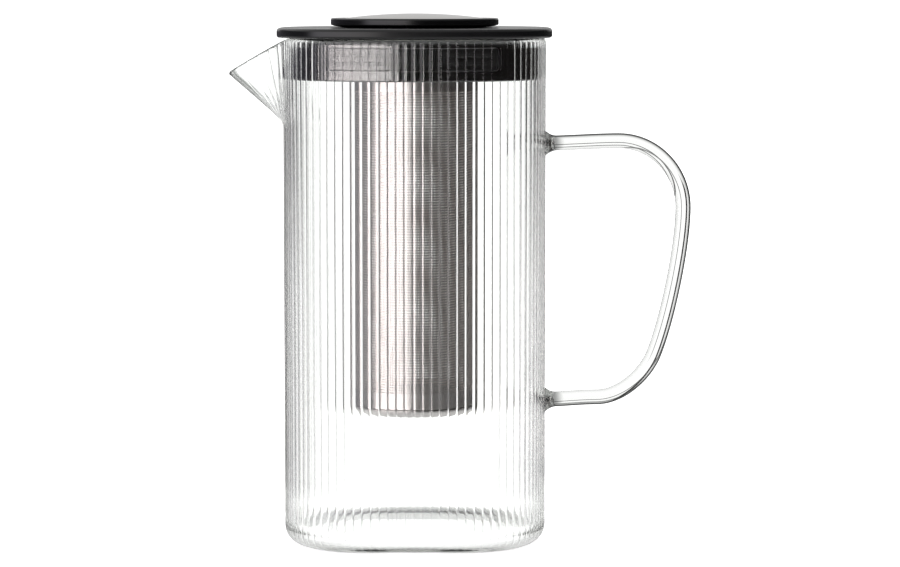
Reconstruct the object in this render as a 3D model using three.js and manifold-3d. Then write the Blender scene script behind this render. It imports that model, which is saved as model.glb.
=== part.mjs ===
// Infusion pitcher: a fluted, square-round glass jug with a pulled spout and a glass handle, a lid whose
// collar fits the mouth, a perforated steel infuser that hangs in the lid, and a round cap with a steel dome.
// Millimetres, +Z up, spout towards -X, handle towards +X. The pitcher stands on z = 0, and the origin lies
// midway between the tip of the spout and the back of the handle.

import * as THREE from 'three';
import { mergeVertices } from 'three/addons/utils/BufferGeometryUtils.js';
import Module from 'manifold-3d';

// Clearance at every seat between two pieces
const SEAT_GAP = 0.3;

// Glass body
const BODY_HALF = 54.5; // axis to the flute ridges at the middle of a side
const BODY_HEIGHT = 208.9;
const SQUARENESS = 3.1; // superellipse exponent: 2 is a circle, more is squarer
const WALL = 2;
const FLUTES = 104;
const FLUTE_DEPTH = 0.3;
const RIM_ROUND = 1.6;

// Base of the body
const FLOOR = 3.2; // standing plane to the inside of the floor
const BASE_RADIUS = 6.3; // outer corner between side and bottom
const FLOOR_RADIUS = 5.5; // inner corner between side and floor
const FOOT_WIDTH = 8;
const FOOT_ARCH = 0.7; // how far the foot lifts between its four corner lobes
const LOBE_ANGLE = 14; // degrees each side of a corner that stay flat
const KICK = 1.2; // hollow under the middle of the base
const KICK_SLOPE = 5;

// Spout, pulled out of the wall at -X
const SPOUT_REACH = 23; // side of the body to the tip
const SPOUT_DROP = 13.6; // rim to the tip
const SPOUT_ROOT = 172; // height where it leaves the wall
const SPOUT_ARC = 27; // half of the rim's length that is drawn out
const SPOUT_PINCH = 0.3; // share by which the lip narrows at the tip
const SPOUT_ROOT_EASE = 0.05;

// Handle, a round glass rod in the XZ plane
const HANDLE_ROD = 6.4;
const HANDLE_OUT = 112.4; // axis of the body to the rod's centre line where it stands out most
const HANDLE_TOP = 165;
const HANDLE_BOTTOM = 57;
const HANDLE_ARM_TOP = 30.5; // straight length of the upper arm
const HANDLE_ARM_BOTTOM = 21.5;
const HANDLE_ARM_RISE = 1;
const HANDLE_SHOULDER = 27; // upper arm down to the widest point
const HANDLE_HEEL = 19.5; // lower arm up to the start of the lower bend
const HANDLE_LEAN = 11.9; // how far the back leans in at the lower bend
const HANDLE_FULLNESS = 0.55; // how far each bend fills its corner
const WELD_DIAMETER = 11.6; // flared end on the glass
const WELD_LENGTH = 5;

// Lid
const PLATE_OVERHANG = 2.6; // cover beyond the glass
const PLATE_THICK = 4;
const PLATE_FILLET = 1.3;
const PLATE_CHAMFER = 1;
const GASKET_THICK = 1.7;
const GASKET_WIDTH = 1.8; // at the middle of a side
const MOUTH_GAP = 0.5; // glass to collar at the middle of a side
const COLLAR_SQUARENESS = 2.5; // superellipse exponent: the collar is rounder than the mouth
const COLLAR_DROP = 16.9; // rim down to the lower edge of the collar
const COLLAR_WALL = 2.9;
const WEB_THICK = 2.3;
const OPENING_RADIUS = 29; // filling hole under the cap
const SLEEVE_WALL = 2;
const LEDGE_DROP = 4.1; // top of the collar down to the infuser's ledge
const LEDGE_THICK = 1.8;

// Ribbed grip pads at the front and the back of the collar, and the pour window towards the spout
const PAD_WIDTH = 70;
const PAD_HEIGHT = 9.6;
const PAD_MIDDLE = 7.9; // rim down to the middle of the pads and the window
const PAD_CORNER = 2.5;
const PAD_RIBS = 3;
const PAD_SUNK = 0.3; // face of the pad inside the collar's skin, between its ribs
const RECESS_DEPTH = 1.2;
const WINDOW_WIDTH = 34;
const WINDOW_HEIGHT = 8;

// Infuser
const TUBE_RADIUS = 26;
const TUBE_WALL = 0.8;
const TUBE_CLEARANCE = 0.6; // tube to the edge of its ledge
const FLANGE_CLEARANCE = 0.4; // flange to the filling hole
const FLANGE_THICK = 1.2;
const SPIGOT_WALL = 0.9;
const RIM_SPIGOT = 6; // sleeve of the rim inside the tube
const BASE_SPIGOT = 4.5; // sleeve of the bottom cup inside the tube
const INFUSER_BOTTOM = 52.5;
const BASE_ROUND = 2.5;
const BASE_HEIGHT = 3.1;
const BASE_FLOOR = 0.9;
const SLIT_ROWS = 10;
const SLIT_HEIGHT = 5;
const PLAIN_BAND = 15; // unperforated tube below the flange
const PLAIN_FOOT = 7; // unperforated tube above the bottom cup

// Cap
const KNOB_RADIUS = 35;
const KNOB_THICK = 3.6;
const KNOB_NECK = 3.2; // undercut below the edge
const KNOB_EDGE = 2.8; // height of the upright edge
const KNOB_ROUND = 0.8;
const PLUG_CLEARANCE = 0.8;
const PLUG_WALL = 2.2;
const PLUG_TOP = 2;
const SEAL_HEIGHT = 2;
const SEAL_GROOVE = 1;
const SEAL_DROP = 2.6; // top of the plug down to the groove
const DOME_RADIUS = 29.4;
const DOME_CROWN = 2;
const DOME_EDGE = 0.5;
const DOME_RECESS = 0.9;

// Facets
const FLUTE_STEPS = 2;
const LID_POINTS = FLUTES / 2;
const ROUND_STEPS = 32; // also the infuser's bars and slits, which take turns round it
const ROD_SIDES = 12;

// Heights and half-widths that follow from the sizes above
const MOUTH_HALF = BODY_HALF - WALL;
const PLATE_HALF = BODY_HALF + PLATE_OVERHANG;
const COLLAR_HALF = MOUTH_HALF - MOUTH_GAP;
const PLATE_Z = BODY_HEIGHT + SEAT_GAP;
const PLATE_TOP = PLATE_Z + PLATE_THICK;
const COLLAR_TOP = PLATE_Z - SEAT_GAP;
const GASKET_Z = COLLAR_TOP - GASKET_THICK;
const GASKET_OUTSIDE = MOUTH_HALF - SEAT_GAP;
const GASKET_INSIDE = GASKET_OUTSIDE - GASKET_WIDTH;
const COLLAR_BOTTOM = BODY_HEIGHT - COLLAR_DROP;
const LEDGE_TOP = COLLAR_TOP - LEDGE_DROP;
const SLEEVE_OUTSIDE = OPENING_RADIUS + SLEEVE_WALL;
const PAD_Z = BODY_HEIGHT - PAD_MIDDLE;
const FLANGE_Z = LEDGE_TOP + SEAT_GAP;
const FLANGE_TOP = FLANGE_Z + FLANGE_THICK;
const SPIGOT_RADIUS = TUBE_RADIUS - TUBE_WALL - SEAT_GAP;
const BASE_SEAM = INFUSER_BOTTOM + BASE_HEIGHT;
const TUBE_BOTTOM = BASE_SEAM + SEAT_GAP;
const TUBE_TOP = FLANGE_Z - SEAT_GAP;
const PLUG_RADIUS = OPENING_RADIUS - PLUG_CLEARANCE;
const PLUG_BOTTOM = FLANGE_TOP + SEAT_GAP;
const KNOB_Z = PLATE_TOP + SEAT_GAP;
const KNOB_TOP = KNOB_Z + KNOB_THICK;
const RECESS_Z = KNOB_TOP - DOME_RECESS;
const HANDLE_SIDE = BODY_HALF + SEAT_GAP;
const BODY_AXIS_X = (SPOUT_REACH + BODY_HALF - HANDLE_OUT - HANDLE_ROD / 2) / 2;

const wasm = await Module();
wasm.setup();

// Square-round outline of the jug and its lid, one turn from +X anticlockwise seen from above
class Superellipse extends THREE.Curve {
  constructor(exponent) {
    super();
    this.power = 2 / exponent;
    this.arcLengthDivisions = 4096;
  }

  getPoint(t, target = new THREE.Vector2()) {
    const c = Math.cos(2 * Math.PI * t);
    const s = Math.sin(2 * Math.PI * t);
    return target.set(Math.sign(c) * Math.abs(c) ** this.power, Math.sign(s) * Math.abs(s) ** this.power);
  }
}

// Points at equal steps along an outline of half-width 1
function outline(count, exponent) {
  return new Superellipse(exponent).getSpacedPoints(count).slice(0, count);
}

function ring(half, z, count, exponent = SQUARENESS) {
  return outline(count, exponent).map((p) => new THREE.Vector3(p.x * half, p.y * half, z));
}

function pole(z) {
  return [new THREE.Vector3(0, 0, z)];
}

// Skin over rings that turn anticlockwise as seen from the way the list runs. A ring may have a whole number
// of times the points of its neighbour, and a ring of one point closes an end.
function loft(rings, closed = false) {
  const starts = [];
  const points = [];
  for (const one of rings) {
    starts.push(points.length);
    points.push(...one);
  }
  const triangles = [];
  const face = (a, b, c, flip) => {
    if (a !== b && b !== c && c !== a) triangles.push(...(flip ? [b, a, c] : [a, b, c]));
  };
  const joins = closed ? rings.length : rings.length - 1;
  for (let join = 0; join < joins; join += 1) {
    const next = (join + 1) % rings.length;
    const flip = rings[join].length < rings[next].length;
    const [fine, coarse] = flip ? [next, join] : [join, next];
    const fineCount = rings[fine].length;
    const coarseCount = rings[coarse].length;
    const share = fineCount / coarseCount;
    const near = (i) => starts[fine] + (i % fineCount);
    const far = (j) => starts[coarse] + (j % coarseCount);
    const turn = Math.ceil(share / 2);
    for (let j = 0; j < coarseCount; j += 1) {
      for (let i = 0; i < share; i += 1) {
        const apex = i < turn ? j : j + 1;
        face(near(j * share + i), near(j * share + i + 1), far(apex), flip);
      }
      face(near(j * share + turn), far(j + 1), far(j), flip);
    }
  }
  const geometry = new THREE.BufferGeometry().setFromPoints(points);
  geometry.setIndex(triangles);
  return geometry;
}

// Closed section carried round an outline: entries are [half-width, height, exponent], anticlockwise
function moulded(section) {
  return loft(section.map(([half, z, exponent]) => ring(half, z, LID_POINTS, exponent)), true);
}

// Round piece turned from entries of [radius, height], anticlockwise, closed or from axis to axis
function turned(section) {
  const profile = section.map(([radius, z]) => new THREE.Vector2(radius, z));
  return new THREE.LatheGeometry(profile, ROUND_STEPS).rotateX(Math.PI / 2);
}

function closedLoop(section) {
  return [...section, section[0]];
}

// Solids for cutting and joining
function solid(geometry) {
  const bare = geometry.clone();
  bare.deleteAttribute('normal');
  bare.deleteAttribute('uv');
  const merged = mergeVertices(bare, 1e-5);
  const vertProperties = new Float32Array(merged.attributes.position.array);
  const triVerts = new Uint32Array(merged.index.array);
  return new wasm.Manifold(new wasm.Mesh({ numProp: 3, vertProperties, triVerts }));
}

function geometryOf(manifold) {
  const { vertProperties, triVerts } = manifold.getMesh();
  const geometry = new THREE.BufferGeometry();
  geometry.setAttribute('position', new THREE.BufferAttribute(vertProperties, 3));
  geometry.setIndex(new THREE.BufferAttribute(triVerts, 1));
  return geometry;
}

// Body of the jug

// Ring of concave flutes with sharp ridges between them, one ridge at the middle of each side
function flutedRing(half, z) {
  return ring(half, z, FLUTES * FLUTE_STEPS).map((point, i) => {
    const across = (2 * (i % FLUTE_STEPS)) / FLUTE_STEPS - 1;
    const inset = 1 - (FLUTE_DEPTH * (1 - across * across)) / half;
    point.x *= inset;
    point.y *= inset;
    return point;
  });
}

// Foot that stands on four corner lobes and lifts a little between them
function lobed(points) {
  for (const point of points) {
    const angle = THREE.MathUtils.radToDeg(Math.atan2(Math.abs(point.y), Math.abs(point.x)));
    point.z += FOOT_ARCH * THREE.MathUtils.smoothstep(Math.abs(angle - 45), LOBE_ANGLE, 45);
  }
  return points;
}

// Draws a ring out into the spout: rise runs from 0 at its root to 1 at its lip
function pulled(points, rise, lip) {
  const perimeter = new Superellipse(SQUARENESS).getLength() * BODY_HALF;
  const ease = (v) => Math.hypot(v, SPOUT_ROOT_EASE) - SPOUT_ROOT_EASE;
  points.forEach((point, i) => {
    const arc = Math.abs(i / points.length - 0.5) * perimeter;
    const weight = arc < SPOUT_ARC ? Math.cos((Math.PI / 2) * (arc / SPOUT_ARC)) ** 2 : 0;
    point.x -= SPOUT_REACH * (ease(rise) / ease(1)) * weight;
    point.y *= 1 - SPOUT_PINCH * rise * weight;
    point.z = THREE.MathUtils.lerp(SPOUT_ROOT, lip - SPOUT_DROP * weight, rise);
  });
  return points;
}

function glassBody() {
  const foot = BODY_HALF - BASE_RADIUS;
  const bevel = 1 - Math.SQRT1_2;
  const rises = [0, 0.12, 0.5, 1];
  const lip = BODY_HEIGHT - RIM_ROUND;
  const outside = rises.map((rise) => pulled(flutedRing(BODY_HALF, 0), rise, lip));
  const inside = rises.map((rise) => pulled(ring(MOUTH_HALF, 0, FLUTES), rise, lip)).reverse();
  const rim = pulled(ring((BODY_HALF + MOUTH_HALF) / 2, 0, FLUTES), 1, BODY_HEIGHT);
  return loft([
    pole(KICK),
    ring(foot - FOOT_WIDTH - KICK_SLOPE, KICK, LID_POINTS),
    lobed(ring(foot - FOOT_WIDTH, 0, LID_POINTS)),
    lobed(ring(foot, 0, LID_POINTS)),
    ring(BODY_HALF - BASE_RADIUS * bevel, BASE_RADIUS * bevel, FLUTES),
    flutedRing(BODY_HALF, BASE_RADIUS),
    ...outside,
    rim,
    ...inside,
    ring(MOUTH_HALF, FLOOR + FLOOR_RADIUS, FLUTES),
    ring(MOUTH_HALF - FLOOR_RADIUS * bevel, FLOOR + FLOOR_RADIUS * bevel, LID_POINTS),
    ring(MOUTH_HALF - FLOOR_RADIUS, FLOOR, LID_POINTS),
    pole(FLOOR),
  ]);
}

// Handle: centre line of two arms, two bends and a leaning back, with a flared weld at each end
function handlePath() {
  const point = (x, z) => new THREE.Vector3(x, 0, z);
  const bend = (from, a, b, to) => new THREE.CubicBezierCurve3(from, a, b, to);
  const mix = THREE.MathUtils.lerp;
  const weldTop = point(HANDLE_SIDE, HANDLE_TOP);
  const armTop = point(HANDLE_SIDE + HANDLE_ARM_TOP, HANDLE_TOP + HANDLE_ARM_RISE);
  const widest = point(HANDLE_OUT, HANDLE_TOP - HANDLE_SHOULDER);
  const heel = point(HANDLE_OUT - HANDLE_LEAN, HANDLE_BOTTOM + HANDLE_HEEL);
  const armBottom = point(HANDLE_SIDE + HANDLE_ARM_BOTTOM, HANDLE_BOTTOM + HANDLE_ARM_RISE);
  const weldBottom = point(HANDLE_SIDE, HANDLE_BOTTOM);
  const back = (widest.z - heel.z) / 4;
  const leanStep = HANDLE_LEAN / 2;
  const full = HANDLE_FULLNESS;
  const path = new THREE.CurvePath();
  path.add(bend(
    weldTop,
    point(mix(weldTop.x, armTop.x, 1 / 3), weldTop.z),
    point(mix(weldTop.x, armTop.x, 2 / 3), armTop.z),
    armTop,
  ));
  path.add(bend(
    armTop,
    point(mix(armTop.x, widest.x, full), armTop.z),
    point(widest.x, mix(widest.z, armTop.z, full)),
    widest,
  ));
  path.add(bend(widest, point(widest.x, widest.z - back), point(heel.x + leanStep, heel.z + back), heel));
  path.add(bend(
    heel,
    point(heel.x - leanStep * full, heel.z - back * full),
    point(mix(armBottom.x, heel.x, 1 - full), armBottom.z),
    armBottom,
  ));
  path.add(bend(
    armBottom,
    point(mix(weldBottom.x, armBottom.x, 2 / 3), armBottom.z),
    point(mix(weldBottom.x, armBottom.x, 1 / 3), weldBottom.z),
    weldBottom,
  ));
  return path;
}

function glassHandle() {
  const path = handlePath();
  const length = path.getLength();
  const stations = [0, 0.4, 1, 2.6].map((share) => (share * WELD_LENGTH) / length);
  const middle = 22;
  const first = stations[stations.length - 1];
  const between = [];
  for (let i = 1; i < middle; i += 1) between.push(first + ((1 - 2 * first) * i) / middle);
  const places = [...stations, ...between, ...stations.map((share) => 1 - share).reverse()];
  const rod = HANDLE_ROD / 2;
  const rings = places.map((place) => {
    const centre = path.getPointAt(place);
    const along = path.getTangentAt(place);
    const out = new THREE.Vector3(-along.z, 0, along.x);
    const fade = Math.max(0, 1 - (Math.min(place, 1 - place) * length) / WELD_LENGTH);
    const radius = rod + (WELD_DIAMETER / 2 - rod) * fade * fade;
    return Array.from({ length: ROD_SIDES }, (_, i) => {
      const angle = (2 * Math.PI * i) / ROD_SIDES;
      const side = new THREE.Vector3(0, -Math.sin(angle) * radius, 0);
      return centre.clone().addScaledVector(out, Math.cos(angle) * radius).add(side);
    });
  });
  return loft([[path.getPointAt(0)], ...rings, [path.getPointAt(1)]]);
}

// Lid

function lidPlate() {
  const round = PLATE_FILLET * (1 - Math.SQRT1_2);
  return moulded([
    [OPENING_RADIUS, PLATE_Z, 2],
    [PLATE_HALF - PLATE_CHAMFER, PLATE_Z],
    [PLATE_HALF, PLATE_Z + PLATE_CHAMFER],
    [PLATE_HALF, PLATE_TOP - PLATE_FILLET],
    [PLATE_HALF - round, PLATE_TOP - round],
    [PLATE_HALF - PLATE_FILLET, PLATE_TOP],
    [OPENING_RADIUS, PLATE_TOP, 2],
  ]);
}

// Seal in a groove at the top of the collar: inside it follows the collar, outside the squarer mouth
function lidGasket() {
  return moulded([
    [GASKET_INSIDE, GASKET_Z, COLLAR_SQUARENESS],
    [GASKET_OUTSIDE, GASKET_Z],
    [GASKET_OUTSIDE, COLLAR_TOP],
    [GASKET_INSIDE, COLLAR_TOP, COLLAR_SQUARENESS],
  ]);
}

// Prism with rounded corners that runs out through one side of the collar, turned from the front
function sidePrism(width, height, corner, turn) {
  const x = width / 2;
  const y = height / 2;
  const shape = new THREE.Shape();
  shape.moveTo(-x + corner, -y);
  shape.absarc(x - corner, -y + corner, corner, -Math.PI / 2, 0);
  shape.absarc(x - corner, y - corner, corner, 0, Math.PI / 2);
  shape.absarc(-x + corner, y - corner, corner, Math.PI / 2, Math.PI);
  shape.absarc(-x + corner, -y + corner, corner, Math.PI, 1.5 * Math.PI);
  shape.closePath();
  const depth = PLATE_HALF - SLEEVE_OUTSIDE;
  const geometry = new THREE.ExtrudeGeometry(shape, { depth, bevelEnabled: false, curveSegments: 3 });
  return geometry.translate(0, 0, SLEEVE_OUTSIDE).rotateX(Math.PI / 2).translate(0, 0, PAD_Z).rotateZ(turn);
}

// Sides of the collar, as turns from the front
const PAD_SIDES = { front: 0, back: Math.PI };
const SPOUT_SIDE = -Math.PI / 2;

function lidCollar() {
  const skirt = COLLAR_HALF - COLLAR_WALL;
  const web = COLLAR_TOP - WEB_THICK;
  const ledge = TUBE_RADIUS + TUBE_CLEARANCE;
  const neck = GASKET_INSIDE - SEAT_GAP;
  const groove = GASKET_Z - SEAT_GAP;
  const tray = moulded([
    [skirt, COLLAR_BOTTOM, COLLAR_SQUARENESS],
    [COLLAR_HALF, COLLAR_BOTTOM, COLLAR_SQUARENESS],
    [COLLAR_HALF, groove, COLLAR_SQUARENESS],
    [neck, groove, COLLAR_SQUARENESS],
    [neck, COLLAR_TOP, COLLAR_SQUARENESS],
    [OPENING_RADIUS, COLLAR_TOP, 2],
    [OPENING_RADIUS, LEDGE_TOP, 2],
    [ledge, LEDGE_TOP, 2],
    [ledge, LEDGE_TOP - LEDGE_THICK, 2],
    [SLEEVE_OUTSIDE, LEDGE_TOP - LEDGE_THICK, 2],
    [SLEEVE_OUTSIDE, web, 2],
    [skirt, web, COLLAR_SQUARENESS],
  ]);
  const recessFloor = COLLAR_HALF - RECESS_DEPTH;
  const recessBand = solid(moulded([
    [recessFloor, COLLAR_BOTTOM, COLLAR_SQUARENESS],
    [PLATE_HALF, COLLAR_BOTTOM],
    [PLATE_HALF, PLATE_TOP],
    [recessFloor, PLATE_TOP, COLLAR_SQUARENESS],
  ]));
  let collar = solid(tray);
  for (const turn of Object.values(PAD_SIDES)) {
    collar = collar.subtract(recessBand.intersect(solid(sidePrism(PAD_WIDTH, PAD_HEIGHT, PAD_CORNER, turn))));
  }
  return geometryOf(collar.subtract(solid(sidePrism(WINDOW_WIDTH, WINDOW_HEIGHT, PAD_CORNER, SPOUT_SIDE))));
}

// Pad with ribs that bear on the glass, cut from a band that follows the collar
function gripPad(turn) {
  const inner = COLLAR_HALF - RECESS_DEPTH + SEAT_GAP;
  const face = COLLAR_HALF - PAD_SUNK;
  const bottom = PAD_Z - PAD_HEIGHT / 2;
  const pitch = PAD_HEIGHT / PAD_RIBS;
  const section = [[inner, bottom + PAD_HEIGHT], [inner, bottom]];
  for (let rib = 0; rib < PAD_RIBS; rib += 1) {
    section.push([face, bottom + rib * pitch]);
    section.push([MOUTH_HALF - SEAT_GAP, bottom + (rib + 0.5) * pitch]);
  }
  section.push([face, bottom + PAD_HEIGHT]);
  const band = moulded(section.map(([half, z]) => [half, z, COLLAR_SQUARENESS]));
  const width = PAD_WIDTH - 2 * SEAT_GAP;
  const height = PAD_HEIGHT - 2 * SEAT_GAP;
  const prism = sidePrism(width, height, PAD_CORNER - SEAT_GAP, turn);
  return geometryOf(solid(band).intersect(solid(prism)));
}

// Infuser

function infuserRim() {
  const bore = SPIGOT_RADIUS - SPIGOT_WALL;
  const flange = OPENING_RADIUS - FLANGE_CLEARANCE;
  return turned(closedLoop([
    [bore, TUBE_TOP - RIM_SPIGOT],
    [SPIGOT_RADIUS, TUBE_TOP - RIM_SPIGOT],
    [SPIGOT_RADIUS, FLANGE_Z],
    [flange, FLANGE_Z],
    [flange, FLANGE_TOP],
    [bore, FLANGE_TOP],
  ]));
}

// Tube whose wall is a grid of bars and open slits
function infuserTube() {
  const bottom = TUBE_BOTTOM + PLAIN_FOOT;
  const pitch = (TUBE_TOP - PLAIN_BAND - bottom) / SLIT_ROWS;
  const levels = [TUBE_BOTTOM];
  for (let row = 0; row < SLIT_ROWS; row += 1) {
    const middle = bottom + (row + 0.5) * pitch;
    levels.push(middle - SLIT_HEIGHT / 2, middle + SLIT_HEIGHT / 2);
  }
  levels.push(TUBE_TOP);
  const posts = ROUND_STEPS;
  const points = [];
  for (const radius of [TUBE_RADIUS, TUBE_RADIUS - TUBE_WALL]) {
    for (const z of levels) points.push(...ring(radius, z, posts, 2));
  }
  const at = (skin, level, post) => (skin * levels.length + level) * posts + (post % posts);
  const triangles = [];
  const quad = (a, b, c, d) => triangles.push(a, b, c, a, c, d);
  const top = levels.length - 1;
  for (let post = 0; post < posts; post += 1) {
    const next = post + 1;
    quad(at(1, 0, post), at(1, 0, next), at(0, 0, next), at(0, 0, post));
    quad(at(0, top, post), at(0, top, next), at(1, top, next), at(1, top, post));
    for (let level = 0; level < top; level += 1) {
      const up = level + 1;
      if (level % 2 === 1 && post % 2 === 1) {
        quad(at(0, level, post), at(0, level, next), at(1, level, next), at(1, level, post));
        quad(at(1, up, post), at(1, up, next), at(0, up, next), at(0, up, post));
        quad(at(0, level, post), at(1, level, post), at(1, up, post), at(0, up, post));
        quad(at(0, up, next), at(1, up, next), at(1, level, next), at(0, level, next));
      } else {
        quad(at(0, level, post), at(0, level, next), at(0, up, next), at(0, up, post));
        quad(at(1, up, post), at(1, up, next), at(1, level, next), at(1, level, post));
      }
    }
  }
  const geometry = new THREE.BufferGeometry().setFromPoints(points);
  geometry.setIndex(triangles);
  return geometry;
}

function infuserBase() {
  const round = BASE_ROUND * (1 - Math.SQRT1_2);
  const bore = SPIGOT_RADIUS - SPIGOT_WALL;
  return turned([
    [0, INFUSER_BOTTOM],
    [TUBE_RADIUS - BASE_ROUND, INFUSER_BOTTOM],
    [TUBE_RADIUS - round, INFUSER_BOTTOM + round],
    [TUBE_RADIUS, INFUSER_BOTTOM + BASE_ROUND],
    [TUBE_RADIUS, BASE_SEAM],
    [SPIGOT_RADIUS, BASE_SEAM],
    [SPIGOT_RADIUS, BASE_SEAM + BASE_SPIGOT],
    [bore, BASE_SEAM + BASE_SPIGOT],
    [bore, INFUSER_BOTTOM + BASE_FLOOR + round],
    [bore - round, INFUSER_BOTTOM + BASE_FLOOR],
    [0, INFUSER_BOTTOM + BASE_FLOOR],
  ]);
}

// Cap

function capKnob() {
  const recess = DOME_RADIUS + SEAT_GAP;
  return turned([
    [0, KNOB_Z],
    [KNOB_RADIUS - KNOB_NECK, KNOB_Z],
    [KNOB_RADIUS, KNOB_TOP - KNOB_EDGE],
    [KNOB_RADIUS, KNOB_TOP - KNOB_ROUND],
    [KNOB_RADIUS - KNOB_ROUND, KNOB_TOP],
    [recess, KNOB_TOP],
    [recess, RECESS_Z],
    [0, RECESS_Z],
  ]);
}

function capPlug() {
  const groove = PLUG_RADIUS - SEAL_GROOVE;
  const grooveTop = PLATE_TOP - SEAL_DROP;
  const grooveBottom = grooveTop - SEAL_HEIGHT - 2 * SEAT_GAP;
  const bore = PLUG_RADIUS - PLUG_WALL;
  return turned([
    [0, PLATE_TOP - PLUG_TOP],
    [bore, PLATE_TOP - PLUG_TOP],
    [bore, PLUG_BOTTOM],
    [PLUG_RADIUS, PLUG_BOTTOM],
    [PLUG_RADIUS, grooveBottom],
    [groove, grooveBottom],
    [groove, grooveTop],
    [PLUG_RADIUS, grooveTop],
    [PLUG_RADIUS, PLATE_TOP],
    [0, PLATE_TOP],
  ]);
}

function capSeal() {
  const inner = PLUG_RADIUS - SEAL_GROOVE + SEAT_GAP;
  const outer = OPENING_RADIUS - SEAT_GAP;
  const top = PLATE_TOP - SEAL_DROP - SEAT_GAP;
  return turned(closedLoop([
    [inner, top - SEAL_HEIGHT],
    [PLUG_RADIUS, top - SEAL_HEIGHT],
    [outer, top - SEAL_HEIGHT / 2],
    [PLUG_RADIUS, top],
    [inner, top],
  ]));
}

function steelDome() {
  const bottom = RECESS_Z + SEAT_GAP;
  const edge = bottom + DOME_EDGE;
  const sphere = (DOME_RADIUS ** 2 + DOME_CROWN ** 2) / (2 * DOME_CROWN);
  const section = [[0, bottom], [DOME_RADIUS, bottom]];
  const steps = 5;
  for (let i = 0; i < steps; i += 1) {
    const radius = DOME_RADIUS * (1 - i / steps);
    section.push([radius, edge + DOME_CROWN - sphere + Math.sqrt(sphere ** 2 - radius ** 2)]);
  }
  section.push([0, edge + DOME_CROWN]);
  return turned(section);
}

// Finishes

const glass = { color: 0xe9f0ec, roughness: 0.02, metalness: 0, transparent: true, opacity: 0.35 };
const blackPlastic = { color: 0x1b1b1d, roughness: 0.45, metalness: 0 };
const silicone = { color: 0x141416, roughness: 0.6, metalness: 0 };
const steel = { color: 0xc9c7c6, roughness: 0.22, metalness: 1 };
const polishedSteel = { color: 0xdedcd9, roughness: 0.08, metalness: 1 };

const pitcher = new THREE.Group();
pitcher.position.x = BODY_AXIS_X;

function add(name, geometry, finish) {
  const mesh = new THREE.Mesh(geometry, new THREE.MeshStandardMaterial(finish));
  mesh.name = name;
  pitcher.add(mesh);
}

add('glass_body', glassBody(), glass);
add('glass_handle', glassHandle(), glass);
add('lid_plate', lidPlate(), blackPlastic);
add('lid_collar', lidCollar(), blackPlastic);
add('lid_gasket', lidGasket(), silicone);
for (const [side, turn] of Object.entries(PAD_SIDES)) add(`grip_pad_${side}`, gripPad(turn), silicone);
add('infuser_rim', infuserRim(), steel);
add('infuser_tube', infuserTube(), steel);
add('infuser_base', infuserBase(), steel);
add('cap_knob', capKnob(), blackPlastic);
add('cap_plug', capPlug(), blackPlastic);
add('cap_seal', capSeal(), silicone);
add('steel_dome', steelDome(), polishedSteel);

export default pitcher;
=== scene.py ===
# %% [markdown]
# # Infusion pitcher
# A tall glass jug with fluted sides, a black lid, and a perforated steel infuser that hangs in the lid.
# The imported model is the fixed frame: it says where each piece is and how large. Every piece here is a
# finer mesh in the same place, with the finish of the real one. Blender works in metres, but a jug is
# easier to think of in millimetres, so the sizes below are in millimetres and MM turns them into metres.

# %% Load the frame
import math

import bpy
from mathutils import Matrix, Vector


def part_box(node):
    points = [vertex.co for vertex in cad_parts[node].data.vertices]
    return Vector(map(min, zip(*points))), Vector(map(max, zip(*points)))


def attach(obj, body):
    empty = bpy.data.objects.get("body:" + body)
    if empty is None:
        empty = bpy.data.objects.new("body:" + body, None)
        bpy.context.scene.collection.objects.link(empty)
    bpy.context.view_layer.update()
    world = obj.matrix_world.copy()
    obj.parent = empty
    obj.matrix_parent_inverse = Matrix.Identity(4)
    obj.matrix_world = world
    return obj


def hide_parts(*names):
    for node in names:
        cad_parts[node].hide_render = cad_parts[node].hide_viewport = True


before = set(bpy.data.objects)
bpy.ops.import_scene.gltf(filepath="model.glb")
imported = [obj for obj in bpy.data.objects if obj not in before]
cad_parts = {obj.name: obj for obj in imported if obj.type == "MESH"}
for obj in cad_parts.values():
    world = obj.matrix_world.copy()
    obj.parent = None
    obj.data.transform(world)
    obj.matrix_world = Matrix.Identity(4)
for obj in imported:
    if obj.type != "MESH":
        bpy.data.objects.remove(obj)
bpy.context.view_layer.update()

MM = 0.001
scene = bpy.context.scene
print("nodes:", ", ".join(sorted(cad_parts)))

# %% [markdown]
# The glass, the lid and the infuser all stand round one upright axis. The frame's boxes give that axis
# and each piece's half-width and heights, so nothing here has to be fitted by eye. Half of the extent
# along Y is used, because the spout and the handle stretch the glass along X.

# %% Sizes that the frame gives
def extent(name):
    """Half-width, bottom and top of a piece that stands round the axis, in millimetres."""
    low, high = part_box(name)
    return (high.y - low.y) / 2 / MM, low.z / MM, high.z / MM


plate_low, plate_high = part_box("lid_plate")
AXIS_X = (plate_low.x + plate_high.x) / 2 / MM
AXIS = (AXIS_X * MM, 0, 0)
BODY_HALF, _, BODY_TOP = extent("glass_body")
print(f"axis at x = {AXIS_X:.2f} mm, body half-width {BODY_HALF:.2f} mm, rim at {BODY_TOP:.2f} mm")

# %% [markdown]
# Node trees are used for the finishes, the light and the shapes. Each node needs the same three things:
# its kind, its settings, and what goes into its sockets. One small function does that for all of them. A
# value in the sockets may be a number, another node (its first output is meant) or one output socket.

# %% One way to add a node
MATH = "ShaderNodeMath"
VECTOR = "ShaderNodeVectorMath"
MAP_RANGE = "ShaderNodeMapRange"


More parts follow.
